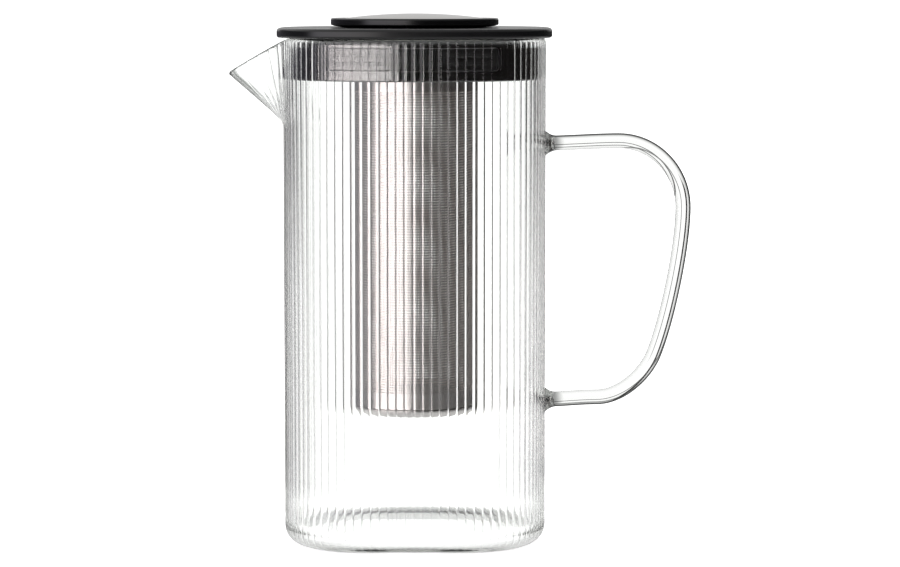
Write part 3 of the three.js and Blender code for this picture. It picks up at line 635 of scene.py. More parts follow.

# %% [markdown]
# The spout was drawn out with a tool while the rim was hot, most at its middle and less to both sides. A
# squared cosine has that shape. The keel, where the tool pressed, and the lip round the spout are kept as
# one value, which the material reads to paint a grey shade there.

# %% Lathe, part three: how far the spout is drawn out
SPOUT_TURN = 0.5
SPOUT_FADE = 0.6
KEEL_LINE = (0.85, 0.97)
KEEL_START = 0.1
LIP_START = 0.15

girth = node(tree, "GeometryNodeCurveLength", {0: outline})
past_spout = node(tree, MATH, {0: turn, 1: SPOUT_TURN}, operation="SUBTRACT")
off_spout = node(tree, MATH, {0: past_spout}, operation="ABSOLUTE")
half_girth = node(tree, MATH, {0: girth, 1: size["Half Width"]}, operation="MULTIPLY")
arc = node(tree, MATH, {0: off_spout, 1: half_girth}, operation="MULTIPLY")
swing = node(tree, MAP_RANGE, {0: arc, 2: size["Spout Arc"], 4: math.pi / 2})
drawn = node(tree, MATH, {0: node(tree, MATH, {0: swing}, operation="COSINE"), 1: 2}, operation="POWER")
pull = node(tree, MATH, {0: drawn, 1: share["spout"]}, operation="MULTIPLY")
stretched = node(tree, MATH, {0: pull, 1: -SPOUT_FADE, 2: 1}, operation="MULTIPLY_ADD")
keel_line = node(tree, MAP_RANGE, {0: drawn, 1: KEEL_LINE[0], 2: KEEL_LINE[1]})
above_root = node(tree, MAP_RANGE, {0: share["spout"], 1: 0, 2: KEEL_START})
keel = node(tree, MATH, {0: keel_line, 1: above_root}, operation="MULTIPLY")
on_spout = node(tree, MAP_RANGE, {0: drawn, 1: 0, 2: LIP_START})
lip = node(tree, MATH, {0: on_spout, 1: share["rim"]}, operation="MULTIPLY")
thick = node(tree, MATH, {0: keel, 1: lip}, operation="MAXIMUM")
print("lathe: the spout takes", SPOUT_FADE, "off the depth of the flutes at its lip")

# %% [markdown]
# Across a flute the surface falls away from each ridge, steeply at first and then hardly at all. A power
# of the distance to the middle of the flute gives that curve, and a small root softens the ridge itself,
# as the flame of the fire-polishing does. The hollow is cut square to the outline, so corners and sides
# have the same depth.

# %% Lathe, part four: the hollow of each flute
place_in_flute = node(tree, MATH, {0: flute_at}, operation="FRACT")
from_middle = node(tree, MATH, {0: place_in_flute, 1: 2, 2: -1}, operation="MULTIPLY_ADD")
off_middle = node(tree, MATH, {0: from_middle}, operation="ABSOLUTE")
from_ridge = node(tree, MATH, {0: 1, 1: off_middle}, operation="SUBTRACT")
ridge_square = node(tree, MATH, {0: size["Ridge Round"], 1: size["Ridge Round"]}, operation="MULTIPLY")
softened = node(tree, MATH, {0: from_ridge, 1: from_ridge, 2: ridge_square}, operation="MULTIPLY_ADD")
root = node(tree, MATH, {0: softened}, operation="SQRT")
rounded_ridge = node(tree, MATH, {0: root, 1: size["Ridge Round"]}, operation="SUBTRACT")
to_middle = node(tree, MATH, {0: 1, 1: rounded_ridge}, operation="SUBTRACT")
curve_up = node(tree, MATH, {0: to_middle, 1: size["Flute Flatness"]}, operation="POWER")
hollow = node(tree, MATH, {0: 1, 1: curve_up}, operation="SUBTRACT")
cut_in = node(tree, MATH, {0: size["Flute Depth"], 1: share["flute"]}, operation="MULTIPLY")
deep = node(tree, MATH, {0: cut_in, 1: stretched}, operation="MULTIPLY")
inset = node(tree, MATH, {0: hollow, 1: deep}, operation="MULTIPLY")
inward = node(tree, VECTOR, {0: (0, 0, 1), 1: square_at.outputs["Tangent"]}, operation="CROSS_PRODUCT")
carved = node(tree, VECTOR, {0: inward, "Scale": inset}, operation="SCALE")
fluted = node(tree, VECTOR, {0: wide, 1: carved}, operation="ADD")
flat = node(tree, "ShaderNodeSeparateXYZ", {0: fluted}).outputs
print("lathe: flutes are flat hollows between softened ridges")

# %% [markdown]
# Last, the skin is put in place: the spout reaches out, drops and narrows, and the foot arches between
# the four corner lobes that the jug stands on. The scuffed ring follows the foot.

# %% Lathe, part five: the spout, the foot, and the finished skin
STORE = "GeometryNodeStoreNamedAttribute"

reach = node(tree, MATH, {0: pull, 1: size["Spout Reach"]}, operation="MULTIPLY")
x = node(tree, MATH, {0: flat["X"], 1: reach}, operation="SUBTRACT")
pinch = node(tree, MATH, {0: pull, 1: size["Spout Pinch"]}, operation="MULTIPLY")
narrow = node(tree, MATH, {0: 1, 1: pinch}, operation="SUBTRACT")
y = node(tree, MATH, {0: flat["Y"], 1: narrow}, operation="MULTIPLY")
drop = node(tree, MATH, {0: pull, 1: size["Spout Drop"]}, operation="MULTIPLY")
lowered = node(tree, MATH, {0: section_at["Z"], 1: drop}, operation="SUBTRACT")
side_x = node(tree, MATH, {0: flat["X"]}, operation="ABSOLUTE")
side_y = node(tree, MATH, {0: flat["Y"]}, operation="ABSOLUTE")
bearing = node(tree, MATH, {0: side_y, 1: side_x}, operation="ARCTAN2")
off_corner = node(tree, MATH, {0: bearing, 1: math.pi / 4}, operation="SUBTRACT")
off_lobe = node(tree, MATH, {0: off_corner}, operation="ABSOLUTE")
lobes = {0: off_lobe, 1: size["Lobe Angle"], 2: math.pi / 4, 4: size["Foot Arch"]}
arch = node(tree, MAP_RANGE, lobes, interpolation_type="SMOOTHSTEP")
lift = node(tree, MATH, {0: arch, 1: share["foot"]}, operation="MULTIPLY")
z = node(tree, MATH, {0: lowered, 1: lift}, operation="ADD")
about_axis = node(tree, "ShaderNodeCombineXYZ", {"X": x, "Y": y, "Z": z})
in_place = node(tree, VECTOR, {0: about_axis, 1: size["Axis"]}, operation="ADD")
skin = node(tree, "GeometryNodeSetPosition", {"Geometry": grid, "Position": in_place})
# The first value marks where the glass paints a grey shade on the spout's lip and keel; the second marks the
# scuffed foot.
for label, value in {"thick": thick, "scuffed": share["foot"]}.items():
    marks = {"Geometry": skin, "Name": label, "Value": value}
    skin = node(tree, STORE, marks, data_type="FLOAT", domain="POINT")
closed = node(tree, "GeometryNodeMergeByDistance", {"Geometry": skin, "Distance": MERGE_WITHIN})
end_tree(tree, closed, size["Material"])

# %% [markdown]
# A tree gives nothing until an object carries it. The section is a chain of points in the XZ plane: X is
# the half-width, Z the height. It is drawn as a few corners, each with its own radius, and the function
# below replaces each corner with an arc. A point just before and after each arc keeps the flats flat to
# the eye. The finished mesh is copied off the evaluated object, and the carrier is removed.

# %% From a section to a finished piece
ARC_STEPS = 6
SUPPORT = 0.25
SHARP = math.radians(32)


def rounded(corners, closed=False, steps=ARC_STEPS):
    """Points of a section from corners of (half-width, height, radius), with an arc at each radius."""
    points = []
    last = len(corners) - 1
    for i, (x, z, radius) in enumerate(corners):
        here = Vector((x, z))
        if radius == 0 or (not closed and i in (0, last)):
            points.append(here)
            continue
        to_last = (Vector(corners[i - 1][:2]) - here).normalized()
        to_next = (Vector(corners[(i + 1) % len(corners)][:2]) - here).normalized()
        half = to_last.angle(to_next) / 2
        start = here + to_last * radius / math.tan(half)
        end = here + to_next * radius / math.tan(half)
        centre = here + (to_last + to_next).normalized() * radius / math.sin(half)
        first = math.atan2(*reversed(start - centre))
        swept = math.atan2(*reversed(end - centre)) - first
        swept = (swept + math.pi) % math.tau - math.pi
        points.append(start + to_last * radius * SUPPORT)
        for step in range(steps + 1):
            angle = first + swept * step / steps
            points.append(centre + Vector((math.cos(angle), math.sin(angle))) * radius)
        points.append(end + to_next * radius * SUPPORT)
    if closed:
        points.append(points[0].copy())
    return points


def settle(carrier, name):
    """Copies what a carrier's modifiers make into a plain mesh object, and removes the carrier."""
    bpy.context.view_layer.update()
    graph = bpy.context.evaluated_depsgraph_get()
    mesh = bpy.data.meshes.new_from_object(carrier.evaluated_get(graph))
    mesh.name = name
    mesh.set_sharp_from_angle(angle=SHARP)
    bpy.data.objects.remove(carrier)
    piece = bpy.data.objects.new(name, mesh)
    scene.collection.objects.link(piece)
    return piece


def run(tree, carrier, material, **sizes):
    """Puts a Geometry Nodes tree on a carrier, and sets its inputs by their identifiers."""
    scene.collection.objects.link(carrier)
    modifier = carrier.modifiers.new(tree.name, "NODES")
    modifier.node_group = tree
    known = {item.name: item.identifier for item in tree.interface.items_tree if item.in_out == "INPUT"}
    for label, value in sizes.items():
        modifier[known[label.replace("_", " ").title()]] = value
    modifier[known["Material"]] = material
    return modifier


def lathe(name, points, material, shares=None, **sizes):
    """Carries a section round the axis. Shares holds the values that are stored on its points."""
    mesh = bpy.data.meshes.new(name + "_section")
    chain = [(i, i + 1) for i in range(len(points) - 1)]
    mesh.from_pydata([(p.x * MM, 0, p.y * MM) for p in points], chain, [])
    for label, values in (shares or {}).items():
        mesh.attributes.new(label, "FLOAT", "POINT").data.foreach_set("value", values)
    carrier = bpy.data.objects.new(name + "_section", mesh)
    run(lathe_tree, carrier, material, **sizes)
    return settle(carrier, name)


def place_piece(piece, body, node_name):
    """Lets a piece ride on its body in place of the CAD node, and prints how many triangles it has."""
    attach(piece, body)
    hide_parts(node_name)
    triangles = sum(len(p.vertices) - 2 for p in piece.data.polygons)
    print(f"{piece.name}: {triangles} triangles on body {body}")


# %% [markdown]
# ## Glass body
# The jug is one piece of glass about 2 mm thick. Its section starts under the base, where a shallow kick
# keeps the middle off the table, and goes round the foot, up the fluted outside, over the fire-polished
# rim, and down the smooth inside to the floor. The spout was drawn out of the rim while the glass was
# hot, so its flutes fan out with it. Modelling it as a skin over rows and columns keeps the flutes whole
# right up to the lip, which a boolean or a sculpted lip wouldn't.

# %% Section of the glass
WALL = 2
RIM_ROUND = 1.6
FLOOR_THICK = 3.2
BASE_RADIUS = 6.3
FLOOR_RADIUS = 5.5
FOOT_WIDTH = 8
KICK = 1.2
KICK_SLOPE = 5
KICK_ROUND = 6
SPOUT_ROOT = 172
SPOUT_EASE = 0.05
SPOUT_ROWS = 15
RIM_STEPS = 8
FLUTE_START = (1.2, 6.5)
MOUTH_HALF = BODY_HALF - WALL
LIP = BODY_TOP - RIM_ROUND


def smoothstep(low, high, value):
    """Rises smoothly from 0 to 1 while the value goes from low to high."""
    t = min(max((value - low) / (high - low), 0), 1)
    return t * t * (3 - 2 * t)


def eased(rise):
    """How far the spout is drawn out, from 0 at its root to 1 at the lip, with a soft start."""
    bend = math.hypot(rise, SPOUT_EASE) - SPOUT_EASE
    return bend / (math.hypot(1, SPOUT_EASE) - SPOUT_EASE)


# The corners at the root of the spout only aim the walls. The rows of the spout begin there instead.
foot = BODY_HALF - BASE_RADIUS
bottom = rounded([
    (0, KICK, 0),
    (foot - FOOT_WIDTH - KICK_SLOPE, KICK, KICK_ROUND),
    (foot - FOOT_WIDTH, 0, KICK_ROUND),
    (BODY_HALF, 0, BASE_RADIUS),
    (BODY_HALF, SPOUT_ROOT, 0),
])[:-1]
heights = [SPOUT_ROOT + (LIP - SPOUT_ROOT) * i / SPOUT_ROWS for i in range(SPOUT_ROWS + 1)]
rises = [i / SPOUT_ROWS for i in range(SPOUT_ROWS + 1)]
outside = [Vector((BODY_HALF, z)) for z in heights]
rim = []
for i in range(1, RIM_STEPS):
    angle = math.pi * i / RIM_STEPS
    rim.append(Vector((BODY_HALF - WALL / 2 * (1 - math.cos(angle)), LIP + RIM_ROUND * math.sin(angle))))
inside = [Vector((MOUTH_HALF, z)) for z in reversed(heights)]
floor_part = rounded([
    (MOUTH_HALF, SPOUT_ROOT, 0),
    (MOUTH_HALF, FLOOR_THICK, FLOOR_RADIUS),
    (0, FLOOR_THICK, 0),
])[1:]
section = bottom + outside + rim + inside + floor_part
spout = [0.0] * len(bottom) + [eased(r) for r in rises] + [1.0] * len(rim)
spout += [eased(r) for r in reversed(rises)] + [0.0] * len(floor_part)
flute = [smoothstep(*FLUTE_START, p.y) for p in bottom] + [1.0] * len(outside)
flute += [max(0.0, 1 - 2 * (i + 1) / RIM_STEPS) for i in range(len(rim))] + [0.0] * len(inside + floor_part)
standing = [1 - smoothstep(0, KICK, p.y) if p.x > foot - FOOT_WIDTH - KICK_SLOPE else 0.0 for p in bottom]
standing += [0.0] * (len(section) - len(bottom))
on_rim = [0.0] * len(bottom + outside) + [1.0] * len(rim) + [0.0] * len(inside + floor_part)
print("section of the glass:", len(section), "points")

# %% [markdown]
# The lathe now takes this section round the outline. Each flute gets twelve columns, enough to show its
# curve, and is only about a quarter of a millimetre deep, just enough to draw a line at each ridge. The
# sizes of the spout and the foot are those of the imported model, so both have the same outline.

# %% The glass body, round the lathe
FLUTES = 104
FLUTE_STEPS = 12

glass_body = lathe(
    "glass_body_fluted",
    section,
    clear_glass,
    shares={"flute": flute, "spout": spout, "foot": standing, "rim": on_rim},
    points_round=FLUTES * FLUTE_STEPS,
    flutes=FLUTES,
    flute_depth=0.26 * MM,
    ridge_crowding=0.8,
    ridge_round=0.05,
    flute_flatness=6.5,
    spout_reach=23 * MM,
    spout_drop=13.6 * MM,
    spout_arc=27 * MM,
    spout_pinch=0.3,
    foot_arch=0.7 * MM,
    lobe_angle=math.radians(14),
)
place_piece(glass_body, "glass", "glass_body")

# %% [markdown]
# ## Glass handle
# The handle is a glass rod, bent hot into a loop that leans in towards its foot, with each end pressed on
# the wall so that it flares. A rod that follows a path is what Curve to Mesh is for: a Bezier curve gives
# the path, and the tree works out the thickness from the distance to the nearer end. It also stores where
# the welds are, for a darker tint there, and which side of the loop is the outer one, for the painted
# shade of the glass.

# %% Geometry Nodes: a rod with flared ends
ROD_SIZES = {
    "Rod Radius": ("Float", 0.0),
    "Weld Radius": ("Float", 0.0),
    "Weld Length": ("Float", 1.0),
    "Steps": ("Int", 200),
    "Sides": ("Int", 32),
    "Loop Middle": ("Vector", (0, 0, 0)),
}
SMOKE_REACH = 1.7

rod_tree, size = new_tree("flared_rod", "Path", ROD_SIZES)
tree = rod_tree
path = node(tree, "GeometryNodeResampleCurve", {"Curve": size["Path"], "Count": size["Steps"]}, mode="COUNT")
length = node(tree, "GeometryNodeCurveLength", {0: path})
walked = node(tree, "GeometryNodeSplineParameter").outputs["Length"]
ahead = node(tree, MATH, {0: length, 1: walked}, operation="SUBTRACT")
from_end = node(tree, MATH, {0: walked, 1: ahead}, operation="MINIMUM")
near_end = node(tree, MAP_RANGE, {0: from_end, 2: size["Weld Length"], 3: 1, 4: 0})
flare = node(tree, MATH, {0: near_end, 1: 2}, operation="POWER")
extra = node(tree, MATH, {0: size["Weld Radius"], 1: size["Rod Radius"]}, operation="SUBTRACT")
thick = node(tree, MATH, {0: flare, 1: extra, 2: size["Rod Radius"]}, operation="MULTIPLY_ADD")
profile = node(tree, "GeometryNodeCurvePrimitiveCircle", {"Resolution": size["Sides"], "Radius": 1})
# The glass is tinted darker near each weld, fading out over this reach.
smoke_end = node(tree, MATH, {0: size["Weld Length"], 1: SMOKE_REACH}, operation="MULTIPLY")
smoky = node(tree, MAP_RANGE, {0: from_end, 1: size["Weld Length"], 2: smoke_end, 3: 1, 4: 0})
marks = {"Geometry": path, "Name": "weld", "Value": smoky}
welded = node(tree, STORE, marks, data_type="FLOAT", domain="POINT")
swept = {"Curve": welded, "Profile Curve": profile, "Scale": thick, "Fill Caps": True}
rod = node(tree, "GeometryNodeCurveToMesh", swept)
# The outer side of the loop gets the stronger painted shade in the glass, so each point stores how far it
# faces out.
at = node(tree, "GeometryNodeInputPosition")
from_loop = node(tree, VECTOR, {0: at, 1: size["Loop Middle"]}, operation="SUBTRACT")
outward = node(tree, VECTOR, {0: from_loop}, operation="NORMALIZE")
normal = node(tree, "GeometryNodeInputNormal")
facing_out = node(tree, VECTOR, {0: normal, 1: outward}, operation="DOT_PRODUCT").outputs["Value"]
outer = node(tree, MAP_RANGE, {0: facing_out, 1: -1, 2: 1})
marks = {"Geometry": rod, "Name": "outer", "Value": outer}
marked = node(tree, STORE, marks, data_type="FLOAT", domain="POINT")
end_tree(tree, marked, size["Material"])

# %% [markdown]
# The path has six stops: the two welds, the ends of the two straight arms, the widest point, and the heel
# where the back turns in. A Bezier handle a third of the way along keeps a straight stretch straight, and
# the bends reach further, by a share that says how full they are.

# %% The handle's path and rod
ROD = 6.4
WELD_DIAMETER = 11.6
WELD_LENGTH = 5
INTO_WALL = 0.4
HANDLE_TOP = 165
HANDLE_BOTTOM = 57
ARM_TOP = 30.5
ARM_BOTTOM = 21.5
ARM_RISE = 1
SHOULDER = 27
HEEL = 19.5
LEAN = 11.9
FULLNESS = 0.55
PATH_STEPS = 32

handle_low, handle_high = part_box("glass_handle")
handle_out = handle_high.x / MM - AXIS_X - ROD / 2
handle_side = handle_low.x / MM - AXIS_X
weld_top = Vector((BODY_HALF - INTO_WALL, HANDLE_TOP))
arm_top = Vector((handle_side + ARM_TOP, HANDLE_TOP + ARM_RISE))
widest = Vector((handle_out, HANDLE_TOP - SHOULDER))
heel = Vector((handle_out - LEAN, HANDLE_BOTTOM + HEEL))
arm_bottom = Vector((handle_side + ARM_BOTTOM, HANDLE_BOTTOM + ARM_RISE))
weld_bottom = Vector((BODY_HALF - INTO_WALL, HANDLE_BOTTOM))
run_back = (widest.y - heel.y) / 4
lean_step = Vector((LEAN / 2, run_back))
stops = [
    (weld_top, None, Vector((ARM_TOP / 3, 0))),
    (arm_top, Vector((-ARM_TOP / 3, 0)), Vector(((widest.x - arm_top.x) * FULLNESS, 0))),
    (widest, Vector((0, (arm_top.y - widest.y) * FULLNESS)), Vector((0, -run_back))),
    (heel, lean_step, -lean_step * FULLNESS),
    (arm_bottom, Vector(((heel.x - arm_bottom.x) * (1 - FULLNESS), 0)), Vector((-ARM_BOTTOM / 3, 0))),
    (weld_bottom, Vector((ARM_BOTTOM / 3, 0)), None),
]


def in_frame(point):
    """A point of the handle's plane, from the axis and the table, in the frame."""
    return Vector(((point.x + AXIS_X) * MM, 0, point.y * MM))


bend = bpy.data.curves.new("handle_path", "CURVE")
bend.dimensions = "3D"
spline = bend.splines.new("BEZIER")
spline.bezier_points.add(len(stops) - 1)
for knot, (at, before, after) in zip(spline.bezier_points, stops):
    knot.handle_left_type = knot.handle_right_type = "FREE"
    knot.co = in_frame(at)
    knot.handle_left = in_frame(at + (before or Vector((0, 0))))
    knot.handle_right = in_frame(at + (after or Vector((0, 0))))
spline.resolution_u = PATH_STEPS
carrier = bpy.data.objects.new("handle_path", bend)
run(
    rod_tree,
    carrier,
    rod_glass,
    rod_radius=ROD / 2 * MM,
    weld_radius=WELD_DIAMETER / 2 * MM,
    weld_length=WELD_LENGTH * MM,
    loop_middle=in_frame(Vector(((BODY_HALF + widest.x) / 2, (HANDLE_TOP + HANDLE_BOTTOM) / 2))),
)
glass_handle = settle(carrier, "glass_handle_rod")
place_piece(glass_handle, "glass", "glass_handle")

# %% [markdown]
# ## Lid
# The cover is a flat moulding with a softened upper edge, wider than the glass so that it can be gripped.
# The filling hole in the middle is round while the outside is square-round, so the share called round is
# 1 at the hole and 0 outside.

# %% Cover
PLATE_FILLET = 1.3
PLATE_CHAMFER = 1
OPENING_RADIUS = 29
EDGE_BREAK = 0.25
HOLE_EDGE = 1

plate_half, plate_bottom, plate_top = extent("lid_plate")
plate_section = rounded([
    (OPENING_RADIUS, plate_bottom, EDGE_BREAK),
    (plate_half, plate_bottom, PLATE_CHAMFER),
    (plate_half, plate_top, PLATE_FILLET),
    (OPENING_RADIUS, plate_top, EDGE_BREAK),
], closed=True)


def round_within(points, radius, inside=1.0, outside=0.0):
    """Gives the points of a section within a radius one share of roundness, and the others another."""
    return {"round": [inside if p.x <= radius else outside for p in points]}


plate_shares = round_within(plate_section, OPENING_RADIUS + HOLE_EDGE)
lid_plate = lathe("lid_cover", plate_section, black_plastic, plate_shares)
place_piece(lid_plate, "lid", "lid_plate")

# %% [markdown]
# Under the cover a ring of silicone sits in a groove at the top of the collar and seals the mouth. The
# collar is rounder than the glass, so the inner side of the ring takes a share of roundness between the
# two.

# %% Sealing ring
GASKET_ROUND = 0.4
GASKET_WIDTH = 1.8
COLLAR_ROUND = 0.45

gasket_half, gasket_bottom, gasket_top = extent("lid_gasket")
gasket_inner = gasket_half - GASKET_WIDTH
gasket_section = rounded([
    (gasket_inner, gasket_bottom, GASKET_ROUND),
    (gasket_half, gasket_bottom, GASKET_ROUND),
    (gasket_half, gasket_top, GASKET_ROUND),
    (gasket_inner, gasket_top, GASKET_ROUND),
], closed=True)
gasket_shares = round_within(gasket_section, gasket_half - GASKET_WIDTH / 2, inside=COLLAR_ROUND)
lid_gasket = lathe("rim_seal", gasket_section, black_silicone, gasket_shares)
place_piece(lid_gasket, "lid", "lid_gasket")

# %% [markdown]
# The collar is a skirt that reaches down into the mouth and clears the glass, with a ledge inside it that
# carries the infuser. It is one moulding, so one section goes up its outside, in at the groove, down the
# filling hole, round the ledge, and back under the web that joins them.

# %% Section of the collar
COLLAR_WALL = 2.9
WEB_THICK = 2.3
COLLAR_GAP = 0.3
SLEEVE_WALL = 2
LEDGE_DROP = 4.1
LEDGE_THICK = 1.8
LEDGE_RADIUS = 26.6
SKIRT_EDGE = 0.6

collar_half, collar_bottom, collar_top = extent("lid_collar")
neck = gasket_inner - COLLAR_GAP
groove = gasket_bottom - COLLAR_GAP
sleeve = OPENING_RADIUS + SLEEVE_WALL
ledge_top = collar_top - LEDGE_DROP
web = collar_top - WEB_THICK
skirt = collar_half - COLLAR_WALL
collar_section = rounded([
    (skirt, collar_bottom, EDGE_BREAK),
    (collar_half, collar_bottom, SKIRT_EDGE),
    (collar_half, groove, EDGE_BREAK),
    (neck, groove, 0),
    (neck, collar_top, EDGE_BREAK),
    (OPENING_RADIUS, collar_top, EDGE_BREAK),
    (OPENING_RADIUS, ledge_top, EDGE_BREAK),
    (LEDGE_RADIUS, ledge_top, EDGE_BREAK),
    (LEDGE_RADIUS, ledge_top - LEDGE_THICK, EDGE_BREAK),
    (sleeve, ledge_top - LEDGE_THICK, EDGE_BREAK),
    (sleeve, web, EDGE_BREAK),
    (skirt, web, EDGE_BREAK),
], closed=True)
print("section of the collar:", len(collar_section), "points")

# %% [markdown]
# The front and back of the collar have a shallow recess for a ribbed silicone pad, and the side at the
# spout has a window to pour through. Each is cut by a Boolean modifier. The cutter is a prism with round
# corners that runs out through one side, and two functions make it and use it.

# %% Cutters for the sides of the collar
PAD_MIDDLE = 7.9
CORNER_STEPS = 6

pad_z = BODY_TOP - PAD_MIDDLE


def side_prism(name, width, height, corner, turn, inner, outer):
    """A prism with round corners that runs out through one side of the collar, turned from the front."""
    outline = []
    for i in range(4):
        side_x = 1 if i in (0, 3) else -1
        side_z = 1 if i < 2 else -1
        for step in range(CORNER_STEPS + 1):
            angle = math.pi / 2 * (i + step / CORNER_STEPS)
            x = side_x * (width / 2 - corner) + corner * math.cos(angle)
            z = side_z * (height / 2 - corner) + corner * math.sin(angle)
            outline.append((x, z + pad_z))
    count = len(outline)
    points = [(x, -y, z) for y in (outer, inner) for x, z in outline]
    faces = [tuple(range(count)), tuple(reversed(range(count, 2 * count)))]
    faces += [(i, count + i, count + (i + 1) % count, (i + 1) % count) for i in range(count)]
    mesh = bpy.data.meshes.new(name)
    mesh.from_pydata([Vector(p) * MM for p in points], [], faces)
    mesh.transform(Matrix.Translation(AXIS) @ Matrix.Rotation(turn, 4, "Z"))
    prism = bpy.data.objects.new(name, mesh)
    scene.collection.objects.link(prism)
    return prism


def cut(piece, cutter, operation):
    """Joins, cuts or intersects a piece with a cutter, and removes the cutter."""
    modifier = piece.modifiers.new(operation, "BOOLEAN")
    modifier.operation = operation
    modifier.object = cutter
    modifier.solver = "EXACT"
    name = piece.name
    piece.name = name + "_uncut"
    made = settle(piece, name)
    bpy.data.objects.remove(cutter)
    return made


print("cutters: prisms at a height of", round(pad_z, 1), "mm")

# %% [markdown]
# A recess has to follow the curve of the collar, so its cutter is the part of a prism that lies in a band
# round the collar. The window goes right through, and a plain prism does.

# %% Collar with its recesses and pour window
PAD_WIDTH = 70
PAD_HEIGHT = 9.6
PAD_CORNER = 2.5
RECESS_DEPTH = 1.2
WINDOW_WIDTH = 34
WINDOW_HEIGHT = 8
PAD_SIDES = {"front": 0, "back": math.pi}
SPOUT_SIDE = -math.pi / 2

collar_shares = round_within(collar_section, sleeve + HOLE_EDGE, outside=COLLAR_ROUND)
lid_collar = lathe("lid_skirt", collar_section, polished_plastic, collar_shares)
recess_section = [
    Vector((collar_half - RECESS_DEPTH, collar_bottom)),
    Vector((plate_half, collar_bottom)),
    Vector((plate_half, plate_top)),
    Vector((collar_half - RECESS_DEPTH, plate_top)),
    Vector((collar_half - RECESS_DEPTH, collar_bottom)),
]
recess_shares = round_within(recess_section, plate_half, inside=COLLAR_ROUND)
for side, turn_to in PAD_SIDES.items():
    band = lathe("recess_" + side, recess_section, black_plastic, recess_shares)
    prism = side_prism("prism_" + side, PAD_WIDTH, PAD_HEIGHT, PAD_CORNER, turn_to, sleeve, plate_half)
    recess = cut(band, prism, "INTERSECT")
    lid_collar = cut(lid_collar, recess, "DIFFERENCE")
window = side_prism("prism_spout", WINDOW_WIDTH, WINDOW_HEIGHT, PAD_CORNER, SPOUT_SIDE, sleeve, plate_half)
lid_collar = cut(lid_collar, window, "DIFFERENCE")
place_piece(lid_collar, "lid", "lid_collar")

# %% [markdown]
# Each pad is a strip of silicone with three long, flat-topped ribs that bear on the glass and hold the
# lid by friction. The grooves between them are very shallow: pressed on the glass, the pad shows them as
# faint lines. The ribs follow the collar all the way, so the same lathe makes a full ribbed band, and the
# part that lies in the recess is kept.

# %% Ribbed grip pads
PAD_RIBS = 3
PAD_GAP = 0.3
RIB_GROOVE = 0.5
RIB_SLOPE = 0.4
RIB_DEPTH = 0.05
RIB_ROUND = 0.08

pad_inner = collar_half - RECESS_DEPTH + PAD_GAP
rib_top = MOUTH_HALF - PAD_GAP
pad_face = rib_top - RIB_DEPTH
pad_bottom = pad_z - PAD_HEIGHT / 2
rib_pitch = PAD_HEIGHT / PAD_RIBS
pad_corners = [(pad_inner, pad_bottom + PAD_HEIGHT, 0), (pad_inner, pad_bottom, 0)]
for rib in range(PAD_RIBS):
    low_edge = pad_bottom + rib * rib_pitch + RIB_GROOVE / 2
    high_edge = low_edge + rib_pitch - RIB_GROOVE
    pad_corners += [(pad_face, low_edge, 0), (rib_top, low_edge + RIB_SLOPE, RIB_ROUND)]
    pad_corners += [(rib_top, high_edge - RIB_SLOPE, RIB_ROUND), (pad_face, high_edge, 0)]
pad_section = rounded(pad_corners, closed=True)
pad_shares = round_within(pad_section, plate_half, inside=COLLAR_ROUND)
for side, turn_to in PAD_SIDES.items():
    band = lathe("grip_strip_" + side, pad_section, black_silicone, pad_shares)
    prism = side_prism(
        "prism_" + side,
        PAD_WIDTH - 2 * PAD_GAP,
        PAD_HEIGHT - 2 * PAD_GAP,
        PAD_CORNER - PAD_GAP,
        turn_to,
        sleeve,
        plate_half,
    )
    pad = cut(band, prism, "INTERSECT")
    place_piece(pad, "lid", "grip_pad_" + side)

# %% [markdown]
# ## Infuser
# The tube is rolled from perforated sheet: 115 rows of fine holes, one straight above the other. Cutting
# nearly nineteen thousand holes with booleans would take far too long. Instead a tree lays a grid whose
# bands are, in turn, sheet and holes, and deletes every second face in the hole bands. Each point keeps
# its number in the grid, because deleting faces changes the order of the points that are left.

# %% Geometry Nodes: perforated tube
TUBE_SIZES = {
    "Radius": ("Float", 0.0),
    "Sheet": ("Float", 0.0),
    "Bottom": ("Float", 0.0),
    "Top": ("Float", 0.0),
    "First Row": ("Float", 0.0),
    "Row Pitch": ("Float", 0.0),
    "Hole Height": ("Float", 0.0),
    "Rows": ("Int", 2),
    "Columns": ("Int", 8),
    "Axis": ("Vector", AXIS),
}
tube_tree, size = new_tree("perforated_tube", "Seed", TUBE_SIZES)
tree = tube_tree
bands = node(tree, MATH, {0: size["Rows"], 1: 2, 2: 1}, operation="MULTIPLY_ADD")
levels = node(tree, MATH, {0: bands, 1: 1}, operation="ADD")
posts = node(tree, MATH, {0: size["Columns"], 1: 1}, operation="ADD")
grid = node(tree, "GeometryNodeMeshGrid", {"Vertices X": posts, "Vertices Y": levels})
index = node(tree, "GeometryNodeInputIndex")
band = node(tree, MATH, {0: index, 1: bands}, operation="MODULO")
post = node(tree, MATH, {0: node(tree, MATH, {0: index, 1: bands}, operation="DIVIDE")}, operation="FLOOR")
in_row = node(tree, MATH, {0: band, 1: 2}, operation="MODULO")
in_column = node(tree, MATH, {0: post, 1: 2}, operation="MODULO")
hole = node(tree, MATH, {0: in_row, 1: in_column}, operation="MULTIPLY")
marks = {"Geometry": grid, "Name": "grid_index", "Value": index}
numbered = node(tree, STORE, marks, data_type="FLOAT", domain="POINT")
sheet = node(tree, "GeometryNodeDeleteGeometry", {"Geometry": numbered, "Selection": hole}, domain="FACE")
print("tube: holes are every second face of every second band")

# %% [markdown]
# A point's number gives its level and its column. Levels come in pairs, the lower and upper edge of a row
# of holes, with one more at each end for the plain sheet there.

# %% Perforated tube, part two: the height of each level
HALF_LEVEL = 0.5

